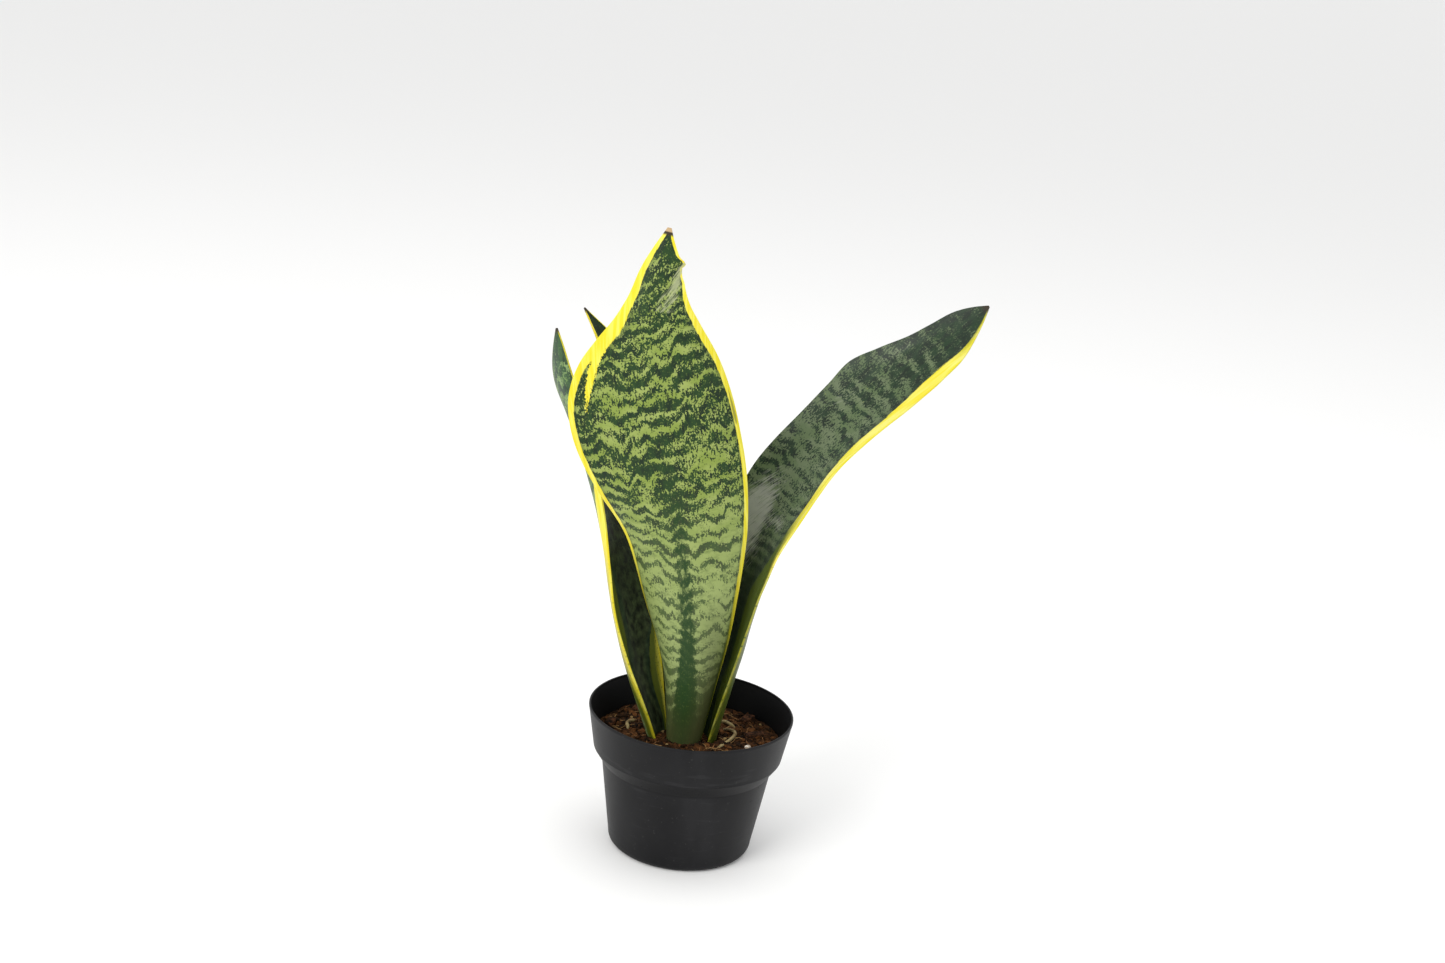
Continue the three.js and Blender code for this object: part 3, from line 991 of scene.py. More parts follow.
    def shape(self) -> BMesh:
        """Build the blade as one closed body with its finish's attributes.

        Returns:
            The blade.
        """
        bm = bmesh.new()
        columns = 2 * self.half_columns
        bmesh.ops.create_grid(bm, x_segments=columns, y_segments=self.stations, size=1)
        across = bm.verts.layers.float.new("across")
        along = bm.verts.layers.float.new("along")
        names = [layer.lower() for layer in LeafFinish.LAYERS]
        layers = [bm.verts.layers.float_vector.new(name) for name in names]
        for vert in bm.verts:
            vert[across] = round(vert.co.x * self.half_columns) / self.half_columns
            share = round((vert.co.y + 1) / 2 * self.stations) / self.stations
            vert[along] = 1 - (1 - share) ** self.TIP_CROWDING
        lower = thicken(bm)
        sections: dict[float, Halves] = {}
        for vert in bm.verts:
            at, u = vert[along], vert[across]
            key = round(at, 6)
            if key not in sections:
                sections[key] = self.halves(at)
            skin = -1 if vert in lower else 1
            arc = self.step_at(sections[key], u)[3]
            for layer, value in zip(layers, self.marks(at, u, arc, skin)):
                vert[layer] = value
            vert.co = self.place(at, u, skin, sections[key]) * MM
        face_out(bm)
        rim = [e for e in bm.edges if e.calc_face_angle(0) > self.RIM_ANGLE]
        soften(bm, rim, self.rim_rounding * MM, 2)
        return bm

    def base_outline(self, z: float) -> list[Vector]:
        """Find points round the blade where it stands at a height.

        Args:
            z: The height.

        Returns:
            The points, in millimetres.
        """
        low, high = 0.0, 0.3
        for _ in range(24):
            middle = (low + high) / 2
            if self.spine_point(middle).z < z:
                low = middle
            else:
                high = middle
        halves = self.halves(low)
        steps = self.half_columns
        shares = [i / steps for i in range(-steps, steps + 1, 4)]
        return [self.place(low, u, skin, halves) for u in shares for skin in (-1, 1)]

    def build(self) -> None:
        """Build the leaf and dress it."""
        name, skin = self.node + "_blade", self.finish.material()
        piece_from(self.shape(), name, "leaf_blade", skin, [self.node], sharp_degrees=60)


@dataclass
class CreasedLeaf(Leaf):
    """A leaf with an old nick in its right margin and a crease that runs from it."""

    nick_at: float = 0.947
    nick_size: float = 2.6
    spur_reach: float = 0.01
    bite_size: float = 1.17
    bite_below: float = 0.022
    bite_reach: float = 0.018
    crease_run: float = 0.105

    def width(self, at: float, side: int) -> float:
        """Work out the half width, with the nick's spur on the right margin.

        Args:
            at: The share of the leaf's length.
            side: -1 for the left half, 1 for the right half.

        Returns:
            The width, in millimetres.
        """
        width = super().width(at, side)
        if side > 0:
            width += self.nick_size * hump(at, self.nick_at, self.spur_reach)
            width -= self.bite_size * hump(at, self.nick_at - self.bite_below, self.bite_reach)
        return width

    def crease(self, at: float, u: float) -> float:
        """Work out how chalky the blade is along the crease.

        Args:
            at: The share of the leaf's length.
            u: The share across.

        Returns:
            The share of chalk.
        """
        chalk = super().crease(at, u)
        back = (self.nick_at - at) / self.crease_run
        if -0.03 < back < 1:
            line = hump(u, 1 - 0.8 * back, 0.24 + 0.3 * back)
            chalk += 1.25 * line * (1 - 0.6 * max(back, 0.0))
        return min(1.0, chalk)

    def ripple(self, at: float, u: float) -> float:
        """Return the ripple, with the crease pressed into it."""
        return super().ripple(at, u) - self.crease(at, u) * max(u, 0.0)


# the front leaf's shading colour is a dark olive, for the painted shade at its foot
FRONT_FINISH = LeafFinish("leaf_front_banded", inner=(0.052, 0.060, 0.020))
RIGHT_FINISH = LeafFinish(
    "leaf_right_mottled",
    light=(0.080, 0.118, 0.050),
    pale=(0.110, 0.142, 0.075),
    low=(0.02, 0.034, 0.017),
    dark=(0.013, 0.031, 0.013),
    deep=(0.008, 0.016, 0.009),
    yellow=(0.62, 0.55, 0.025),
    butter=(0.68, 0.63, 0.14),
    olive=(0.060, 0.085, 0.010),
    chalk=(0.33, 0.345, 0.285),
    zigzag=12.0,
    regular=0.13,
    patchy=1.0,
    ragged=1.0,
    speckle=1.2,
    softness=0.2,
    chalk_streaks=1.7,
    roughness=0.38,
)
LEFT_FINISH = LeafFinish(
    "leaf_left_green",
    # painted shade on the whole upper face, which stands in for the shade in its hollow
    inner_shade=0.9,
    light=(0.15, 0.24, 0.07),
    pale=(0.20, 0.30, 0.11),
    low=(0.22, 0.30, 0.12),
    dark=(0.035, 0.085, 0.03),
    deep=(0.012, 0.035, 0.016),
    softness=0.12,
)
BACK_FINISH = LeafFinish(
    "leaf_back_green",
    # painted shade on the whole upper face, which stands in for the shade in its hollow
    inner_shade=0.5,
    light=(0.15, 0.24, 0.07),
    softness=0.12,
)


def all_leaves() -> list[Leaf]:
    """List the plant's leaves, with the sizes that the CAD frame has.

    Returns:
        The leaves, front to back.
    """
    front = CreasedLeaf(
        node="leaf_front",
        height=304,
        half_width=49,
        spine=(
            (0, -3, -11), (0.12, -4, -13, 0.12), (0.26, -7, -17, 0.26), (0.4, -15, -23, 0.42),
            (0.54, -25, -29, 0.555), (0.68, -36, -34, 0.705), (0.82, -41, -35, 0.835),
            (0.93, -40, -31, 0.93), (1, -37, -27, 1),
        ),
        left=(
            (0, 0.22), (0.12, 0.37), (0.26, 0.64), (0.4, 0.74), (0.5, 0.91), (0.56, 0.99),
            (0.62, 1.035), (0.68, 1), (0.74, 0.83), (0.78, 0.635), (0.82, 0.44), (0.86, 0.315),
            (0.93, 0.195), (0.97, 0.1), (1, 0.02),
        ),
        right=(
            (0, 0.22), (0.12, 0.4), (0.26, 0.57), (0.4, 0.79), (0.54, 0.895), (0.62, 0.89),
            (0.68, 0.835), (0.74, 0.735), (0.82, 0.525), (0.86, 0.4), (0.9, 0.31), (0.935, 0.255),
            (0.96, 0.165), (0.98, 0.085), (1, 0.02),
        ),
        turn=((0, 0), (0.2, 10), (0.4, 7), (0.65, 1), (1, 3)),
        hollow=((0, -150), (0.15, -130), (0.4, -80), (0.6, -50), (1, -30)),
        roll=((0, 0, 0), (0.42, 0, 0), (0.65, 25, -25), (0.85, 10, -12), (1, 0, 0)),
        finish=FRONT_FINISH,
        yellow_left=(
            (0, 0.8), (0.12, 1.0), (0.2, 1.8), (0.35, 2.6), (0.5, 3.0), (0.6, 3.2), (0.66, 3.2),
            (0.7, 4.2), (0.74, 5.5), (0.765, 9.0), (0.79, 9.5), (0.83, 6.2), (0.88, 4.4),
            (0.94, 3.0), (1, 1.6),
        ),
        yellow_right=(
            (0, 1.4), (0.15, 2.2), (0.3, 2.6), (0.6, 3.0), (0.72, 3.6), (0.8, 4.6), (0.86, 3.4),
            (0.92, 1.2), (0.95, 1.7), (0.98, 1.6), (1, 0.8),
        ),
        lighter=(
            (0, -0.3), (0.07, -0.12), (0.14, 0.05), (0.22, 0.13), (0.3, 0.13), (0.42, 0.03),
            (0.55, -0.05), (0.7, -0.1), (0.85, -0.1), (0.93, -0.15), (1, -0.34),
        ),
        stripe=(
            (0, 1.0, 7.6), (0.07, 1.0, 6.8), (0.13, 0.95, 5.7), (0.2, 0.8, 5.0), (0.3, 0.62, 5.0),
            (0.42, 0.5, 5.5), (0.5, 0.45, 6), (0.6, 0.2, 5), (0.68, 0, 4), (1, 0, 4),
        ),
        bands=((0, 0), (0.25, 10.5), (0.5, 20), (0.6, 23.6), (0.75, 28.6), (0.9, 33.6), (1, 37.0)),
        olive=((0, 1.4), (0.1, 1.1), (0.2, 0.8), (0.3, 0.35), (0.4, 0.1), (0.5, 0.0), (1.0, 0.0)),
        low=((0.0, 1.0), (0.2, 0.9), (0.35, 0.6), (0.52, 0.0), (1.0, 0.0)),
        sag=(
            (0, 3, 0), (0.3, 4, -1), (0.45, 1.0, -1), (0.6, -2, -2), (0.72, -4, -3), (0.85, -9, -7),
            (1, -10, -8),
        ),
        streaks=(
            Streak(
                (
                    (0.635, -41.0, 1.0), (0.67, -39.0, 2.0), (0.7, -36.5, 2.6), (0.745, -31.5, 3.4),
                    (0.77, -28, 3.6), (0.79, -25, 0),
                ),
                fade=0.06,
            ),
            Streak(
                ((0.58, 41.9, 0), (0.61, 41.9, 0.45), (0.66, 40.0, 0.45), (0.7, 37.8, 0)),
                dark=True,
            ),
        ),
        tones=(
            Patch(0.08, 0.8, 0.12, 0.75, -0.12), Patch(0.47, 0.05, 0.07, 0.35, -0.16),
            Patch(0.56, -0.25, 0.06, 0.45, -0.12), Patch(0.55, 0.55, 0.05, 0.45, 0.12),
            Patch(0.43, 0.5, 0.05, 0.5, 0.12), Patch(0.66, -0.3, 0.05, 0.4, 0.1),
            Patch(0.79, 0.1, 0.05, 0.6, 0.08),
        ),
        # painted shade low on the blade: at its foot by the mix, and up its right side where the
        # right leaf's foot shades it
        shades=(
            Patch(0.07, 0.75, 0.19, 0.8, 0.95), Patch(0.05, -0.7, 0.12, 0.7, 0.5),
            Patch(0.24, 0.55, 0.08, 0.5, 0.3), Patch(0.0, 0.0, 0.11, 1.4, 0.75),
        ),
        tip_scorch=1.0,
        dry_tip=0.016,
        seed=1.0,
    )
    right = Leaf(
        node="leaf_right",
        height=266,
        half_width=30,
        spine=(
            (0, 11, 5), (0.15, 19, 8, 0.19), (0.35, 27, 14, 0.43), (0.55, 50, 22, 0.62),
            (0.75, 92, 31, 0.8), (0.9, 123, 38, 0.92), (1, 146, 43, 1),
        ),
        left=(
            (0, 0.33), (0.15, 0.5), (0.35, 0.75), (0.5, 0.9), (0.6, 0.89), (0.68, 0.97),
            (0.74, 1.03), (0.8, 0.79), (0.85, 0.57), (0.9, 0.44), (0.95, 0.32), (0.98, 0.16),
            (1, 0.015),
        ),
        right=(
            (0, 0.33), (0.15, 0.86), (0.3, 0.98), (0.4, 0.95), (0.55, 0.93), (0.65, 0.86),
            (0.75, 0.79), (0.85, 0.7), (0.9, 0.62), (0.95, 0.36), (0.98, 0.16), (1, 0.015),
        ),
        turn=((0, 60), (0.35, 46), (0.7, 54), (1, 34)),
        hollow=((0, 150), (0.2, 120), (0.45, 70), (0.75, 40), (1, 20)),
        finish=RIGHT_FINISH,
        yellow_right=(
            (0, 18), (0.2, 22), (0.28, 20), (0.34, 12), (0.38, 8), (0.5, 5), (0.75, 6.5),
            (0.88, 6.5), (0.94, 2.5), (1, 0.5),
        ),
        lighter=(
            (0, -0.3), (0.3, -0.1), (0.5, 0.04), (0.7, 0.0), (0.8, -0.1), (0.9, -0.22), (1, -0.45),
        ),
        olive=(
            (0, 1.6), (0.25, 1.5), (0.33, 1.3), (0.4, 0.8), (0.48, 0.2), (0.55, 0.0), (0.88, 0.0),
            (0.95, 0.5), (1, 0.9),
        ),
        patches=(
            Patch(0.38, -0.45, 0.12, 0.8, 1.0), Patch(0.46, -0.4, 0.1, 0.6, 0.7),
            Patch(0.43, 0.35, 0.04, 0.4, 0.6), Patch(0.68, -0.45, 0.06, 0.5, 0.3),
        ),
        bands=((0, 0), (0.5, 21), (0.75, 31), (1, 39)),
        low=((0.0, 1.0), (0.25, 0.9), (0.4, 0.0), (1.0, 0.0)),
        waviness=1.4,
        seed=2.0,
    )
    left = Leaf(
        node="leaf_left",
        height=229,
        half_width=20,
        spine=(
            (0, -17, -1), (0.15, -34, 3, 0.155), (0.35, -48, 10, 0.355), (0.55, -65, 18, 0.56),
            (0.75, -82, 27, 0.75), (0.9, -94, 34, 0.895), (1, -99, 38, 1),
        ),
        left=(
            (0, 0.4), (0.15, 0.98), (0.25, 1.08), (0.33, 1.15), (0.4, 1.08), (0.46, 0.95),
            (0.55, 0.82), (0.75, 0.78), (0.9, 0.48), (0.95, 0.29), (1, 0.02),
        ),
        right=(
            (0, 0.4), (0.15, 0.9), (0.35, 0.95), (0.55, 0.8), (0.7, 0.85), (0.8, 0.97), (0.87, 0.9),
            (0.95, 0.41), (1, 0.02),
        ),
        turn=((0, -70), (0.35, -60), (0.6, -96), (0.8, -119), (1, -127)),
        hollow=((0, 150), (0.2, 120), (0.4, 100), (0.65, 70), (1, 20)),
        finish=LEFT_FINISH,
        yellow_left=(
            (0, 2), (0.1, 6), (0.2, 14), (0.3, 17), (0.4, 15), (0.48, 11), (0.56, 8), (0.64, 4),
            (0.75, 0.8), (0.9, 0.4), (1, 0.2),
        ),
        yellow_right=(
            (0, 1), (0.06, 2), (0.085, 4), (0.125, 7), (0.19, 7), (0.22, 5.5), (0.26, 2.5),
            (0.42, 0.8), (0.53, 0.8), (0.56, 4), (0.585, 4), (0.61, 1.5), (0.8, 0.6), (1, 0.2),
        ),
        lighter=((0, 0.3), (0.2, 0.25), (0.6, 0.05), (0.85, -0.05), (0.93, -0.25), (1, -0.6)),
        olive=(
            (0, 1.3), (0.12, 1.1), (0.25, 1.05), (0.34, 0.95), (0.42, 0.5), (0.48, 0.0), (0.6, 0.0),
            (0.8, 0.5), (1.0, 0.9),
        ),
        seed=3.0,
    )
    back = Leaf(
        node="leaf_back",
        height=240,
        half_width=18,
        spine=(
            (0, -10, 17), (0.15, -13, 22, 0.165), (0.35, -21, 29, 0.39), (0.55, -37, 35, 0.585),
            (0.75, -54, 43, 0.77), (0.9, -69, 48, 0.915), (1, -85, 50, 1),
        ),
        left=((0, 0.45), (0.15, 0.75), (0.35, 0.9), (0.55, 1), (0.75, 0.8), (0.9, 0.35), (1, 0.02)),
        right=(
            (0, 0.45), (0.15, 0.65), (0.35, 0.85), (0.55, 1), (0.75, 0.8), (0.9, 0.35), (1, 0.02),
        ),
        turn=((0, -8), (0.4, -1), (0.7, -15), (1, -31)),
        hollow=((0, 150), (0.2, 110), (0.45, 60), (0.75, 40), (1, 20)),
        finish=BACK_FINISH,
        yellow_left=((0, 4), (0.3, 5), (0.6, 3), (0.9, 1.2), (0.95, 0.8), (1, 0.3)),
        yellow_right=((0, 3), (0.5, 3), (0.85, 0.6), (1, 0.3)),
        lighter=((0, 0.05), (0.6, 0.0), (0.8, -0.3), (1, -0.6)),
        seed=4.0,
    )
    return [front, right, left, back]


# ------------------------------------------------------------------ pot


@dataclass(frozen=True)
class PotPlastic:
    """Moulded black plastic with a little dust and some scuffs, painted sheen in vertical
    streaks, and painted shade on the ledge and inside the wall above the mix; places in metres.
    """

    name: str = "pot_black_plastic"
    black: Colour = (0.0060, 0.0060, 0.0068)
    grey: Colour = (0.0105, 0.0105, 0.0115)
    # colour of the painted sheen: lighter vertical streaks down the wall
    drip: Colour = (0.022, 0.022, 0.024)
    scuff: Colour = (0.036, 0.036, 0.038)
    dust: Colour = (0.10, 0.097, 0.093)
    # colour of the painted shade on the ledge
    ledge: Colour = (0.003, 0.003, 0.0035)
    # colour of the painted shade inside the wall above the mix
    lining: Colour = (0.0015, 0.0015, 0.0016)
    ledge_rise: Range = (0.050, 0.053)
    ledge_fall: Range = (0.0595, 0.061)
    rub_rise: Range = (0.050, 0.058)
    rub_fall: Range = (0.064, 0.072)
    # where the painted shade inside the wall starts, and the cone of the wall that bounds it
    headspace_rise: Range = (0.062, 0.064)
    lining_radius: float = 0.0594
    lining_height: float = 0.085
    lining_taper: float = 0.18

    def lining_mask(self, b: Bench, where: Socket, up: Socket) -> Socket:
        """Find the inside of the wall above the mix, where shade is painted.

        Args:
            b: The material's bench.
            where: The place on the pot.
            up: Its height.

        Returns:
            1 there and 0 elsewhere.
        """
        flat = b.scaled(where, (1.0, 1.0, 0.0))
        across = b.node("VectorMath", {"operation": "LENGTH"}, Vector=flat).outputs["Value"]
        at_foot = self.lining_radius - self.lining_height * self.lining_taper
        radius = b.mad(up, self.lining_taper, at_foot)
        inside = b.step(b.minus(radius, across), 0.0, 0.0002)
        return b.times(inside, b.step(up, *self.headspace_rise))

    def material(self) -> Material:
        """Build the pot's material.

        Returns:
            The material.
        """
        material, b, skin = new_material(self.name)
        where = b.place()
        up = b.node("SeparateXYZ", Vector=where).outputs[2]
        cloud = b.grain(where, 28.0, 4.0)
        dust = b.step(b.grain(where, 520.0), 0.67, 0.73)
        swept = b.grain(b.scaled(where, (55.0, 55.0, 420.0)), 1.0, 3.0)
        rub = b.mad(b.minus(cloud, 0.5), 0.5, swept)
        rub = b.mad(b.plateau(up, self.rub_rise, self.rub_fall), 0.12, rub)
        # painted sheen: lighter vertical streaks down the wall
        drip = b.grain(b.scaled(where, (60.0, 60.0, 14.0)), 1.0, 4.0)
        colour = b.blend(b.step(cloud, 0.3, 0.7), self.black, self.grey)
        colour = b.cover(colour, self.drip, b.step(drip, 0.5, 0.75), 0.3)
        colour = b.cover(colour, self.scuff, b.step(rub, 0.62, 0.8), 0.25)
        colour = b.cover(colour, self.dust, dust, 0.16)
        # painted shade on the ledge, which damps the light that it catches
        ledge = b.plateau(up, self.ledge_rise, self.ledge_fall)
        colour = b.cover(colour, self.ledge, ledge, 0.8)
        # painted shade inside the wall above the mix
        colour = b.cover(colour, self.lining, self.lining_mask(b, where, up), 0.85)
        rough = b.mad(dust, 0.2, b.mad(cloud, 0.2, 0.36))
        height = b.plus(b.grain(where, 1500.0), b.times(b.grain(where, 160.0), 0.6))
        b.dress(skin, colour, rough, height, (0.12, 0.0003), specular=0.14)
        return material


@dataclass
class NurseryPot:
    """The thin moulded pot; millimetres, as the CAD frame has them."""

    rim_diameter: float = 120
    base_diameter: float = 85
    height: float = 85
    wall: float = 1.2
    band_height: float = 25
    band_taper: float = 4.5
    ledge_width: float = 5.5
    ledge_drop: float = 8
    lip_height: float = 1.4
    lip_slope: float = 0.6
    lip_step: float = 0.25
    corner: float = 5
    foot_ring: float = 12
    pad_diameter: float = 24
    floor_raise: float = 3
    floor_run: float = 2
    drain_holes: int = 8
    drain_diameter: float = 5
    drill_length: float = 8
    edge_rounding: float = 0.45
    segments: int = 144

    SHARP_DEGREES = 35
    ROUNDED_FROM = math.radians(18)

    def outside(self) -> list[tuple[float, float]]:
        """Draw the outside from the middle of the underside to the lip.

        Returns:
            The radius and the height at each point.
        """
        rim, base, pad = self.rim_diameter / 2, self.base_diameter / 2, self.pad_diameter / 2
        foot = base - self.foot_ring
        band_foot = (rim - self.band_taper, self.height - self.band_height)
        points = [
            (0.0, 0.0),
            (pad, 0.0),
            (pad + self.floor_run, self.floor_raise),
            (foot - self.floor_run, self.floor_raise),
            (foot, 0.0),
        ]
        for degrees in range(0, 91, 15):
            a = math.radians(degrees)
            r = base - self.corner * (1 - math.sin(a))
            points.append((r, self.corner * (1 - math.cos(a))))
        lip = self.height - self.lip_height
        return points + [
            (band_foot[0] - self.ledge_width, band_foot[1] - self.ledge_drop),
            band_foot,
            (rim - self.lip_step, lip - self.lip_slope),
            (rim, lip),
            (rim, self.height),
        ]

    def inside(self) -> list[tuple[float, float]]:
        """Draw the outside again a wall further in, with mitred corners.

        Returns:
            The radius and the height at each point.
        """
        outline = self.outside()
        normals = []
        for (r0, z0), (r1, z1) in zip(outline, outline[1:]):
            length = math.hypot(r1 - r0, z1 - z0)
            normals.append((-(z1 - z0) / length, (r1 - r0) / length))
        moved = [(0.0, self.wall)]
        for (r, z), (ar, az), (br, bz) in zip(outline[1:], normals, normals[1:]):
            mitre = self.wall / (1 + ar * br + az * bz)
            moved.append((r + (ar + br) * mitre, z + (az + bz) * mitre))
        moved.append((outline[-1][0] - self.wall, self.height))
        return moved

    def inner_radius(self, z: float) -> float:
        """Work out how wide the pot is inside.

        Args:
            z: The height above the floor.

        Returns:
            The radius there.
        """
        points = self.inside()
        for (r0, z0), (r1, z1) in reversed(list(zip(points, points[1:]))):
            if min(z0, z1) <= z <= max(z0, z1) and z1 > z0:
                return r0 + (r1 - r0) * (z - z0) / (z1 - z0)
        return points[-1][0]

    def drills(self) -> Object:
        """Build the drain holes' cutters.

        Returns:
            All of them as one object.
        """
        ring = (self.pad_diameter / 2 + self.base_diameter / 2 - self.foot_ring) / 2
        radius = self.drain_diameter / 2 * MM
        bm = bmesh.new()
        for i in range(self.drain_holes):
            angle = math.tau * i / self.drain_holes
            place = Vector((ring * math.cos(angle), ring * math.sin(angle), self.floor_raise))
            size = {"radius1": radius, "radius2": radius, "depth": self.drill_length * MM}
            there = Matrix.Translation(place * MM)
            bmesh.ops.create_cone(bm, cap_ends=True, segments=24, matrix=there, **size)
        return object_from(bm, "drain_cutter")

    def shape(self) -> BMesh:
        """Turn the pot's wall round its axis and soften its corners.

        Returns:
            The wall, without its drain holes.
        """
        bm = bmesh.new()
        turn_round(bm, self.outside() + self.inside()[::-1], self.segments)
        face_out(bm)
        corners = [e for e in bm.edges if e.calc_face_angle(0) > self.ROUNDED_FROM]
        soften(bm, corners, self.edge_rounding * MM, 3)
        return bm

    def build(self) -> None:
        """Build the pot, drill it and dress it."""
        plastic = PotPlastic().material()
        names = ("pot_wall", "pot_plastic")
        pot = piece_from(self.shape(), *names, plastic, ["nursery_pot"], self.SHARP_DEGREES)
        cutter = self.drills()
        cut = pot.modifiers.new("drain", "BOOLEAN")
        cut.object = cutter
        cut.solver = "EXACT"
        drilled = applied_mesh(pot)
        pot.modifiers.clear()
        pot.data = drilled
        bpy.data.objects.remove(cutter)
        finish_mesh(pot.data, self.SHARP_DEGREES)


# ------------------------------------------------------------------ potting mix


class MixGrain(Enum):
    """What a loose crumb of the potting mix is, with its least and greatest size."""

    HUSK = (0.9, 2.6)
    PERLITE = (0.8, 1.5)


def fill_earth(b: Bench, given: dict[str, Socket]) -> dict[str, Socket]:
    """Fill the group that colours coir and bark by place and by bit.

    Args:
        b: The group's bench.
        given: The group's input sockets by name.

    Returns:
        The group's output values by name.
    """
    where, tint = given["Place"], given["Tint"]
    cloud = b.grain(where, 90.0, 4.0, 0.6)
    fine = b.grain(where, 700.0, 4.0, 0.7)
    share = b.mad(b.minus(fine, 0.5), 0.9, cloud)
    colour = b.blend(b.step(share, 0.3, 0.75), given["Dark"], given["Brown"])
    rusty = b.plus(b.times(tint, 0.5), b.times(fine, 0.6))
    colour = b.blend(b.step(rusty, 0.45, 0.8), colour, given["Rust"])
    colour = b.blend(b.step(tint, 0.88, 0.98), colour, given["Straw"])
    return {"Color": colour, "Height": b.plus(fine, cloud)}


@dataclass(frozen=True)
class EarthFinish:
    """Coir and bark; tinted marks a mesh whose bits carry their own tint."""

    name: str
    tinted: bool = False
    dark: Colour = (0.006, 0.0035, 0.002)
    brown: Colour = (0.034, 0.014, 0.005)
    rust: Colour = (0.115, 0.045, 0.013)
    straw: Colour = (0.28, 0.19, 0.08)

    COLOURS = ("Dark", "Brown", "Rust", "Straw")

    def material(self) -> Material:
        """Build the material.

        Returns:
            The material.
        """
        inputs = [("Place", "Vector"), ("Tint", "Float")] + [(n, "Color") for n in self.COLOURS]
        outputs = (("Color", "Color"), ("Height", "Float"))
        group = shader_group("coir_and_bark", inputs, outputs, fill_earth)
        material, b, skin = new_material(self.name)
        where = b.place()
        tint = b.attribute("tint").outputs["Fac"] if self.tinted else b.grain(where, 240.0)
        colours = {n: getattr(self, n.lower()) for n in self.COLOURS}
        earth = b.node("Group", {"node_tree": group}, Place=where, Tint=tint, **colours).outputs
        b.dress(skin, earth["Color"], 0.95, earth["Height"], (0.7, 0.0006), specular=0.1)
        return material


@dataclass
class EarthedBody:
    """A body that lies in the mix, roughened within its CAD solid; millimetres."""

    node: str
    slot: str
    cell: float
    relief: float
    lump: float
    ring_pitch: float = 0.0
    crown: tuple[float, float] = (0.0, 0.0)

    def depth(self, place: Vector) -> float:
        """Work out how far the skin lies inside the CAD solid.

        Args:
            place: The place on the skin.

        Returns:
            The distance.
        """
        lumps = 0.5 + noise.fractal(place / self.lump, 1.0, 2.0, 3)
        depth = self.relief * max(0.0, min(1.0, lumps))
        if self.ring_pitch:
            out = math.hypot(place.x - self.crown[0], place.y - self.crown[1])
            out += 0.5 * noise.noise(place / 4)
            depth += self.relief * (1 - abs(math.sin(math.pi * out / self.ring_pitch)) ** 0.4)
        return depth

    def shape(self) -> BMesh:
        """Copy the CAD solid, rebuild its skin in even cells and roughen it.

        Returns:
            The roughened body.
        """
        bm = bmesh.new()
        bm.from_mesh(bpy.data.objects[self.node].data)
        bmesh.ops.remove_doubles(bm, verts=bm.verts[:], dist=MERGE_GAP)
        block = object_from(bm, self.node + "_block")
        cells = block.modifiers.new("cells", "REMESH")
        cells.mode = "VOXEL"
        cells.voxel_size = self.cell * MM
        even = applied_mesh(block)
        bpy.data.objects.remove(block)
        bm = bmesh.new()
        bm.from_mesh(even)
        every_way = {f"use_axis_{axis}": True for axis in "xyz"}
        for _ in range(3):
            bmesh.ops.smooth_vert(bm, verts=bm.verts[:], factor=0.5, **every_way)
        bm.normal_update()
        for vert in bm.verts:
            vert.co -= vert.normal * self.depth(vert.co / MM) * MM
        return bm

    def build(self, material: Material) -> None:
        """Build the body and dress it."""
        piece_from(self.shape(), self.node + "_body", self.slot, material, [self.node], 60)


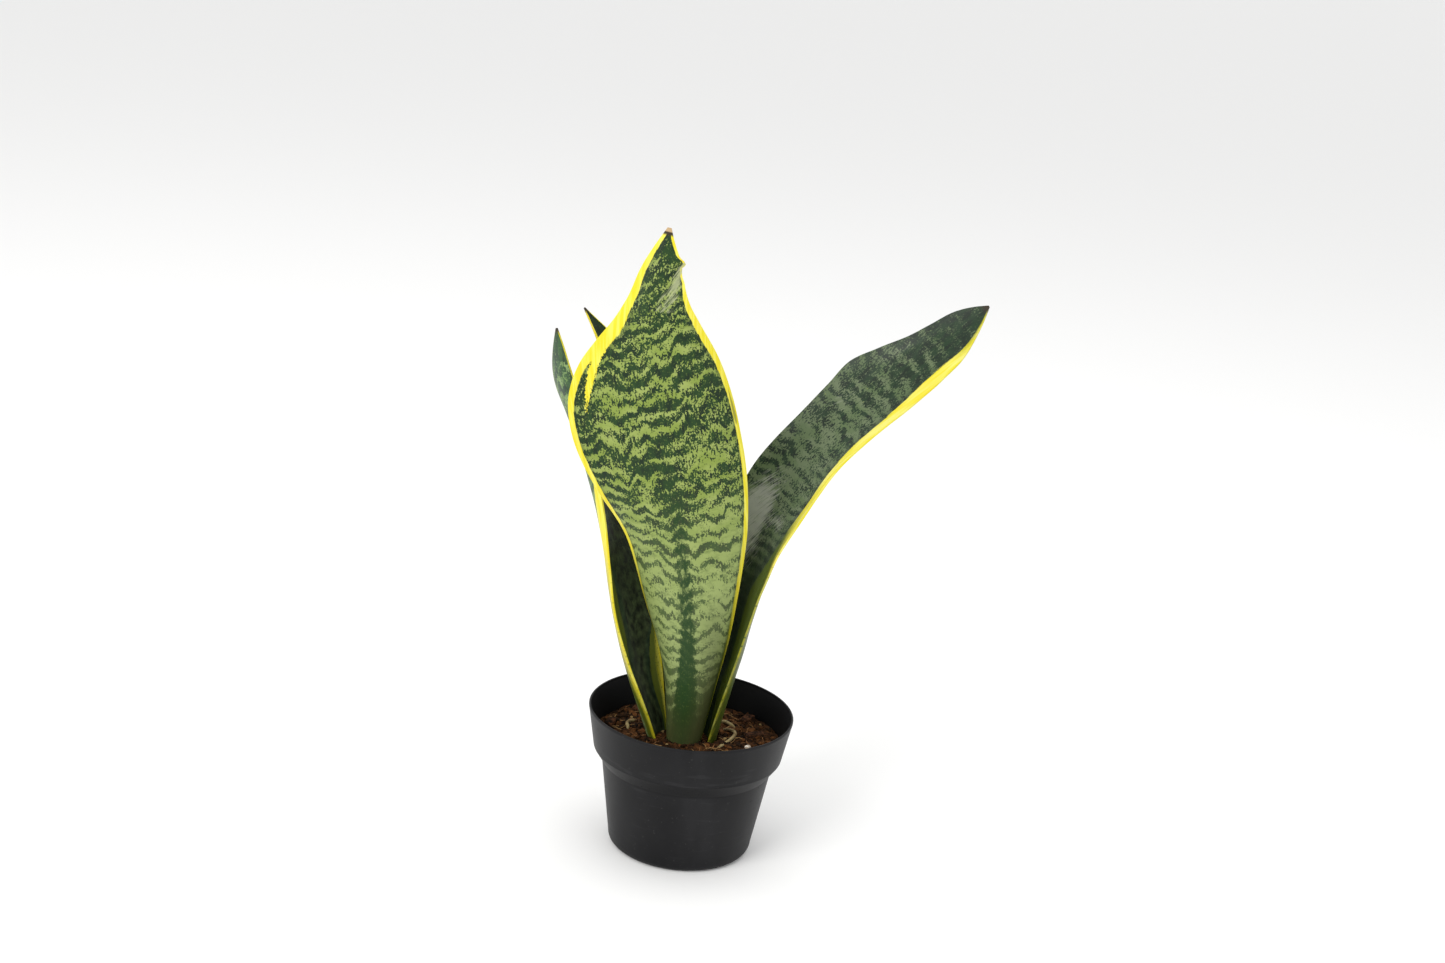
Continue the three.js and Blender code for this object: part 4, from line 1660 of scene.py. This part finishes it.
@dataclass
class PottingMix:
    """The crumbly top of the mix, with its loose bits; millimetres."""

    pot: NurseryPot
    leaves: list[Leaf]
    gap: float = 0.4
    ring_step: float = 1.1
    spokes: int = 220
    crumbs: int = 750
    perlite_every: int = 29
    fibres: int = 230
    seed: int = 7

    CRUST, MEAN_RISE = 1.6, 0.9
    LUMP_SIZE, LUMP_HEIGHT = 9.0, 1.5
    BUMP_SIZE, BUMP_HEIGHT = 2.2, 0.5
    HEAP_REACH, HEAP_HEIGHT = 7.0, 1.2
    WALL_REACH, WALL_DROP = 7.0, 0.6
    COVERED, CLEARANCE = 1.2, 0.8
    CRUMB_TILT, CRUMB_JITTER, CRUMB_RISE = 0.6, 0.22, 0.35
    CRUMB_LENGTH, CRUMB_WIDTH, CRUMB_THICKNESS = (0.8, 1.7), (0.5, 0.9), 0.55
    PERLITE_SHAPE, PERLITE_TINT, PALEST_HUSK = (1.0, 0.9, 0.8), 0.97, 0.85
    FIBRE_LENGTH, FIBRE_RADIUS, FIBRE_LIFT = (5.0, 15.0), (0.12, 0.28), (0.2, 1.6)
    FIBRE_REST, FIBRE_BEND, FIBRE_TINTS = 0.15, 0.16, (0.3, 0.6, 0.8, 0.93)

    def __post_init__(self) -> None:
        """Find where the leaves stand and start the draw of the loose bits."""
        self.draw = random.Random(self.seed)
        self.feet = [leaf.base_outline(MIX_TOP + 1) for leaf in self.leaves]
        self.radius = self.pot.inner_radius(MIX_TOP) - self.gap

    def from_leaves(self, x: float, y: float) -> float:
        """Return the distance from a place on the mix to the nearest leaf."""
        return min(math.hypot(p.x - x, p.y - y) for foot in self.feet for p in foot)

    def level(self, x: float, y: float) -> float:
        """Work out the height of the mix: lumpy, heaped at the leaves, low at the wall.

        Args:
            x: The place to the right.
            y: The place to the back.

        Returns:
            The height above the floor.
        """
        edge = max(0.0, (math.hypot(x, y) - self.radius) / self.WALL_REACH + 1)
        size = self.LUMP_SIZE
        lumps = self.LUMP_HEIGHT * sheet_noise(x / size, y / size, 3.0, 4)
        size = self.BUMP_SIZE
        lumps += self.BUMP_HEIGHT * sheet_noise(x / size, y / size, 8.0, 2)
        heap = self.HEAP_HEIGHT * math.exp(-((self.from_leaves(x, y) / self.HEAP_REACH) ** 2))
        lumps *= 1 - 0.5 * edge
        return MIX_TOP + self.MEAN_RISE + lumps + heap - self.WALL_DROP * edge**2

    def crust(self) -> BMesh:
        """Build the lumpy top of the mix, open where the leaves come through.

        Returns:
            The crust, closed all round.
        """
        bm = bmesh.new()
        count = int(self.radius / self.ring_step)
        profile = [((i + 0.3) / (count + 0.3) * self.radius, 0.0) for i in range(count + 1)]
        turn_round(bm, profile, self.spokes)
        away = {v: self.from_leaves(v.co.x / MM, v.co.y / MM) for v in bm.verts}
        covered = [v for v in bm.verts if away[v] < self.COVERED]
        bmesh.ops.delete(bm, geom=covered, context="VERTS")
        eye = [e for e in bm.edges if e.is_boundary and e.verts[0].co.length < MM]
        bmesh.ops.holes_fill(bm, edges=eye, sides=0)
        loose = [v for v in bm.verts if not v.link_faces]
        bmesh.ops.delete(bm, geom=loose, context="VERTS")
        face_out(bm)
        under = thicken(bm)
        for vert in bm.verts:
            x, y = vert.co.x / MM, vert.co.y / MM
            vert.co.z = (MIX_TOP - self.CRUST if vert in under else self.level(x, y)) * MM
        face_out(bm)
        return bm

    def spot(self, clear: float) -> tuple[float, float]:
        """Draw a place on the mix that is clear of the leaves and the wall.

        Args:
            clear: The distance to keep from them.

        Returns:
            The place.
        """
        while True:
            r = (self.radius - clear) * math.sqrt(self.draw.random())
            a = self.draw.uniform(0, math.tau)
            x, y = r * math.cos(a), r * math.sin(a)
            if self.from_leaves(x, y) > clear:
                return x, y

    def crumb(self, bm: BMesh, kind: MixGrain) -> None:
        """Add one loose crumb to a mesh.

        Args:
            bm: The mesh, which has a tint layer.
            kind: What the crumb is.
        """
        tint = bm.verts.layers.float["tint"]
        size = self.draw.uniform(*kind.value)
        x, y = self.spot(size + self.CLEARANCE)
        turn = Matrix.Rotation(self.draw.uniform(0, math.tau), 4, "Z")
        tilt = Matrix.Rotation(self.draw.uniform(-self.CRUMB_TILT, self.CRUMB_TILT), 4, "X")
        length, width = (self.draw.uniform(*r) for r in (self.CRUMB_LENGTH, self.CRUMB_WIDTH))
        husk = kind is MixGrain.HUSK
        half = Vector((length, width, self.CRUMB_THICKNESS) if husk else self.PERLITE_SHAPE) * size
        z = self.level(x, y) + half.z * self.CRUMB_RISE
        place = Matrix.Translation(Vector((x, y, z)) * MM)
        shaped = place @ turn @ tilt @ Matrix.Diagonal((*(half * MM), 1))
        made = bmesh.ops.create_icosphere(bm, subdivisions=1, radius=1, matrix=shaped)
        shade = self.draw.uniform(0, self.PALEST_HUSK) if husk else self.PERLITE_TINT
        reach = self.CRUMB_JITTER
        for vert in made["verts"]:
            vert.co += Vector([self.draw.uniform(-reach, reach) * size * MM for _ in range(3)])
            vert[tint] = shade

    def fibre(self, bm: BMesh, steps: int = 6) -> None:
        """Add one thin, bent coir fibre to a mesh.

        Args:
            bm: The mesh, which has a tint layer.
            steps: The number of straight runs in the fibre.
        """
        length = self.draw.uniform(*self.FIBRE_LENGTH)
        x, y = self.spot(length / 2 + self.CLEARANCE)
        heading = self.draw.uniform(0, math.tau)
        bend = self.draw.uniform(-self.FIBRE_BEND, self.FIBRE_BEND)
        thick, lift = (self.draw.uniform(*r) for r in (self.FIBRE_RADIUS, self.FIBRE_LIFT))
        shade = self.draw.choice(self.FIBRE_TINTS)
        x -= math.cos(heading) * length / 2
        y -= math.sin(heading) * length / 2
        frames = []
        for i in range(steps + 1):
            z = self.level(x, y) + self.FIBRE_REST + lift * math.sin(math.pi * i / steps)
            turn = Matrix.Rotation(heading, 4, "Z") @ Matrix.Rotation(math.pi / 2, 4, "Y")
            frames.append(Matrix.Translation(Vector((x, y, z)) * MM) @ turn)
            heading += bend
            x += math.cos(heading) * length / steps
            y += math.sin(heading) * length / steps
        radii = [thick * MM * (1.0 if 0 < i < steps else 0.5) for i in range(steps + 1)]
        tint = bm.verts.layers.float["tint"]
        for vert in sweep(bm, frames, radii, 4):
            vert[tint] = shade

    def litter(self) -> BMesh:
        """Build the loose crumbs on the mix.

        Returns:
            All of them as one mesh.
        """
        bm = bmesh.new()
        bm.verts.layers.float.new("tint")
        for i in range(self.crumbs):
            self.crumb(bm, MixGrain.HUSK if i % self.perlite_every else MixGrain.PERLITE)
        return bm

    def coir(self) -> BMesh:
        """Build the loose fibres on the mix.

        Returns:
            All of them as one mesh.
        """
        bm = bmesh.new()
        bm.verts.layers.float.new("tint")
        for _ in range(self.fibres):
            self.fibre(bm)
        face_out(bm)
        return bm

    def build(self) -> None:
        """Build the body of the mix, its top and the bits on it, and dress them."""
        earth = EarthFinish("mix_earth").material()
        bits = EarthFinish("mix_bits", tinted=True).material()
        reddish = {"brown": (0.16, 0.07, 0.03), "rust": (0.30, 0.15, 0.06)}
        strands = EarthFinish("mix_fibre", tinted=True, **reddish).material()
        EarthedBody("potting_mix", "potting_mix", cell=1.3, relief=0.6, lump=3.0).build(earth)
        piece_from(self.crust(), "mix_crust", "potting_mix", earth, sharp_degrees=70)
        piece_from(self.litter(), "mix_crumbs", "potting_mix", bits, sharp_degrees=20)
        piece_from(self.coir(), "mix_fibres", "potting_mix", strands)


# ------------------------------------------------------------------ loose pieces


@dataclass(frozen=True)
class SpeckledSkin:
    """A dry skin that clouds between two colours, with grit of a third one on it.

    Scales are the noise's repeats in a metre; relief is in metres.
    """

    name: str
    shade: Colour
    light: Colour
    grit: Colour
    cloud_range: Range
    grit_scale: tuple[float, float, float]
    grit_range: Range
    relief: float
    roughness: float
    cloud_scale: float = 120.0
    grit_roughness: float = 0.6
    specular: float = 0.5

    def material(self) -> Material:
        """Build the material.

        Returns:
            The material.
        """
        material, b, skin = new_material(self.name)
        where = b.place()
        cloud = b.grain(where, self.cloud_scale, 3.0)
        grit = b.grain(b.scaled(where, self.grit_scale), 1.0, 3.0, self.grit_roughness)
        colour = b.blend(b.step(cloud, *self.cloud_range), self.shade, self.light)
        colour = b.blend(b.step(grit, *self.grit_range), colour, self.grit)
        b.dress(skin, colour, self.roughness, grit, (0.6, self.relief), self.specular)
        return material


DRY_ROOT = SpeckledSkin(
    "dry_root_skin",
    shade=(0.17, 0.12, 0.05),
    light=(0.33, 0.26, 0.12),
    grit=(0.09, 0.06, 0.03),
    cloud_scale=160.0,
    cloud_range=(0.35, 0.65),
    grit_scale=(1400.0, 1400.0, 1400.0),
    grit_range=(0.55, 0.75),
    relief=0.0003,
    roughness=0.75,
    specular=0.25,
)
RHIZOME_SKIN = SpeckledSkin(
    "rhizome_scaly",
    shade=(0.38, 0.20, 0.08),
    light=(0.60, 0.42, 0.22),
    grit=(0.20, 0.10, 0.04),
    cloud_range=(0.3, 0.7),
    grit_scale=(60.0, 60.0, 420.0),
    grit_range=(0.52, 0.64),
    grit_roughness=0.5,
    relief=0.0006,
    roughness=0.6,
)
PERLITE_FROTH = SpeckledSkin(
    "perlite_white",
    shade=(0.34, 0.26, 0.18),
    light=(0.34, 0.26, 0.18),
    grit=(0.72, 0.69, 0.62),
    cloud_range=(0.3, 0.7),
    grit_scale=(900.0, 900.0, 900.0),
    grit_range=(0.45, 0.65),
    relief=0.0004,
    roughness=0.9,
)


@dataclass
class LoosePiece:
    """Something that lies on the mix and stands for one CAD node."""

    node: str

    SUFFIX = "_piece"
    SLOT = "husk"
    SHARP_DEGREES = 60

    def shape(self) -> BMesh:
        """Build the piece's mesh."""
        raise NotImplementedError

    def build(self, material: Material) -> None:
        """Build the piece and dress it."""
        name = self.node + self.SUFFIX
        piece_from(self.shape(), name, self.SLOT, material, [self.node], self.SHARP_DEGREES)


@dataclass
class RootStrand(LoosePiece):
    """A dry root that lies on the mix; its line holds x, y and lift, in millimetres."""

    line: Rows
    diameter: float = 2.0
    sway: float = 0.35
    knobs: float = 0.16
    bedding: float = 0.5
    steps: int = 44
    sides: int = 12

    SUFFIX = "_root"
    SLOT = "dry_root"

    def shape(self) -> BMesh:
        """Sweep a knobbly, tapering tube along the root's line.

        Returns:
            The root.
        """
        rows = tuple((float(i), *place) for i, place in enumerate(self.line))
        points, radii = [], []
        for i in range(self.steps + 1):
            share = i / self.steps
            key = share * (len(rows) - 1)
            x, y, lift = smooth(rows, key)
            sway = self.sway * noise.noise(Vector((x / 3, y / 3, 4.0)))
            end = min(1.0, 6 * share + 0.4, 6 * (1 - share) + 0.3)
            knob = 1 + self.knobs * noise.noise(Vector((key * 6, 1.0, x / 9)))
            height = MIX_TOP + self.bedding + self.diameter / 2 + lift + sway
            points.append(Vector((x + sway, y - sway, height)) * MM)
            radii.append(self.diameter / 2 * end * knob * MM)
        frames = []
        for i, point in enumerate(points):
            along = (points[min(i + 1, self.steps)] - points[max(i - 1, 0)]).normalized()
            turn = along.to_track_quat("Z", "Y").to_matrix().to_4x4()
            frames.append(Matrix.Translation(point) @ turn)
        bm = bmesh.new()
        sweep(bm, frames, radii, self.sides)
        face_out(bm)
        return bm


@dataclass
class HuskChip(LoosePiece):
    """A chip of bark on the mix; millimetres and degrees."""

    length: float
    width: float
    thickness: float
    turn: float
    seed: float

    SUFFIX = "_bark"
    SHARP_DEGREES = 50

    def shape(self) -> BMesh:
        """Split, round and roughen a block of bark.

        Returns:
            The chip.
        """
        low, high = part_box(self.node)
        bm = bmesh.new()
        bmesh.ops.create_cube(bm, size=1)
        soften(bm, bm.edges[:], 0.16, 2)
        bmesh.ops.subdivide_edges(bm, edges=bm.edges[:], cuts=2, use_grid_fill=True)
        size = Vector((self.length, self.width, self.thickness))
        spin = Matrix.Rotation(math.radians(self.turn), 3, "Z")
        for vert in bm.verts:
            x, y, z = vert.co
            taper = 1 - 0.35 * abs(x) * (1 + noise.noise(Vector((self.seed, y, 2))))
            place = Vector((x * size.x, y * size.y * taper, z * size.z * taper))
            rough = noise.noise(Vector((place.x / 4, place.y * 1.1, place.z * 1.1 + self.seed)))
            vert.co = (low + high) / 2 + (spin @ place) * (0.94 + 0.14 * rough) * MM
        face_out(bm)
        return bm


@dataclass
class PerliteGrain(LoosePiece):
    """A grain of perlite on the mix."""

    seed: float

    SUFFIX = "_grain"
    SLOT = "perlite"

    def shape(self) -> BMesh:
        """Puff up a ball to an uneven grain that fills the CAD grain's box.

        Returns:
            The grain.
        """
        low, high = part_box(self.node)
        half = (high - low) / 2
        bm = bmesh.new()
        bmesh.ops.create_icosphere(bm, subdivisions=3, radius=1)
        for vert in bm.verts:
            way = vert.co.normalized()
            swell = 0.92 + 0.16 * noise.noise(way * 2.3 + Vector((self.seed, 0, 0)))
            vert.co = (low + high) / 2 + Vector([w * h * swell for w, h in zip(way, half)])
        face_out(bm)
        return bm


@dataclass
class LoosePieces:
    """Everything bigger that lies on the mix, and the rhizome in it.

    strands hold each root's line, and chips the length, width, thickness and turn
    of each chip, in the order of their nodes.
    """

    strands: tuple[Rows, ...] = (
        ((20, 15, 0), (25, 10, 2), (27, 2, 3), (22, -7, 1), (17, -13, 0)),
        ((17, 26, 0), (22, 22, 1.5), (27, 18, 0)),
        ((-32, 16, 0), (-37, 9, 1), (-36, 1, 0)),
    )
    chips: Rows = (
        (13, 6, 4, 25), (11, 6, 4, -35), (9, 5, 3.5, 80), (12, 6, 4, 60), (12, 6, 4, -25),
        (10, 5, 3.5, 15), (10, 6, 4, 75), (11, 6, 4, 5), (10, 5, 3.5, -10), (12, 6, 4, 40),
    )
    grains: int = 3

    def build(self) -> None:
        """Build the pieces and dress them."""
        root = DRY_ROOT.material()
        for i, line in enumerate(self.strands, 1):
            RootStrand(f"root_strand_{i}", line).build(root)
        bark = EarthFinish("husk_bark", rust=(0.15, 0.06, 0.028)).material()
        for i, sizes in enumerate(self.chips, 1):
            HuskChip(f"husk_chip_{i}", *sizes, seed=float(i - 1)).build(bark)
        white = PERLITE_FROTH.material()
        for i in range(1, self.grains + 1):
            PerliteGrain(f"perlite_{i}", float(i)).build(white)
        rings = {"ring_pitch": 2.6, "crown": (-4.75, 2.5)}
        rhizome = EarthedBody("rhizome", "rhizome_skin", cell=0.6, relief=0.3, lump=5.0, **rings)
        rhizome.build(RHIZOME_SKIN.material())


# ------------------------------------------------------------------ studio


@dataclass(frozen=True)
class Softbox:
    """A square soft light that looks at the plant; metres and watts."""

    name: str
    place: tuple[float, float, float]
    size: float
    power: float
    colour: Colour

    AIM = Vector((0, 0, 0.18))

    def hang(self) -> None:
        """Hang the light in the scene."""
        light = bpy.data.lights.new(self.name, "AREA")
        light.size = self.size
        light.energy = self.power
        light.color = self.colour
        lamp = bpy.data.objects.new(self.name, light)
        lamp.location = self.place
        lamp.rotation_euler = (self.AIM - Vector(self.place)).to_track_quat("-Z", "Y").to_euler()
        bpy.context.scene.collection.objects.link(lamp)


@dataclass
class Studio:
    """The floor, the lights and the camera; metres, millimetres for the camera, degrees."""

    camera_height: float = 16.46
    camera_roll: float = 5.8
    camera_distance: float = 1.1355
    target: tuple[float, float, float] = (0.0046, 0.0, 0.2248)
    lens: float = 50.0
    sensor: float = 36.0
    floor_reach: float = 40.0
    floor_colour: Colour = (0.87, 0.87, 0.865)
    daylight: float = 0.96
    softboxes: tuple[Softbox, ...] = (
        Softbox("key_softbox", (-1.2, -1.5, 1.3), 1.1, 27, (1.0, 0.99, 0.97)),
        Softbox("fill_softbox", (1.5, -1.4, 1.0), 1.4, 5, (0.97, 0.99, 1.0)),
        Softbox("top_softbox", (0.1, 0.4, 2.0), 1.6, 8, (1.0, 1.0, 1.0)),
    )

    def floor(self) -> None:
        """Lay a pale floor that runs on past all that the camera sees."""
        bm = bmesh.new()
        bmesh.ops.create_grid(bm, x_segments=2, y_segments=2, size=self.floor_reach)
        paper = object_from(bm, "studio_floor")
        material, b, skin = new_material("studio_paper")
        b.put(skin.inputs["Base Color"], self.floor_colour)
        skin.inputs["Roughness"].default_value = 0.9
        skin.inputs["Specular IOR Level"].default_value = 0.1
        paper.data.materials.append(material)

    def lights(self) -> None:
        """Light the plant softly from the front left and above."""
        for softbox in self.softboxes:
            softbox.hang()
        world = bpy.data.worlds.new("studio_air")
        world.use_nodes = True
        air = world.node_tree.nodes["Background"]
        air.inputs["Color"].default_value = (1, 1, 1, 1)
        air.inputs["Strength"].default_value = self.daylight
        bpy.context.scene.world = world
        bpy.context.scene.view_settings.view_transform = "Standard"

    def camera(self) -> None:
        """Set up the camera, which looks slightly down and leans a little."""
        data = bpy.data.cameras.new("studio_camera")
        data.lens = self.lens
        data.sensor_width = self.sensor
        camera = bpy.data.objects.new("studio_camera", data)
        tilt, roll = math.radians(self.camera_height), math.radians(self.camera_roll)
        back = Vector((0, -math.cos(tilt), math.sin(tilt)))
        right = Vector((1, 0, 0))
        up = back.cross(right)
        leaned_right = right * math.cos(roll) + up * math.sin(roll)
        leaned_up = up * math.cos(roll) - right * math.sin(roll)
        turn = Matrix((leaned_right, leaned_up, back)).transposed()
        place = Vector(self.target) + back * self.camera_distance
        camera.matrix_world = Matrix.Translation(place) @ turn.to_4x4()
        bpy.context.scene.collection.objects.link(camera)
        bpy.context.scene.camera = camera

    def build(self) -> None:
        """Set up the whole studio."""
        for part in (self.camera, self.floor, self.lights):
            part()


def main() -> None:
    """Build the studio and the plant, piece by piece."""
    Studio().build()
    leaves = all_leaves()
    for leaf in leaves:
        leaf.build()
    pot = NurseryPot()
    pot.build()
    PottingMix(pot, leaves).build()
    LoosePieces().build()
    bpy.context.view_layer.update()


if __name__ == "__main__":
    main()
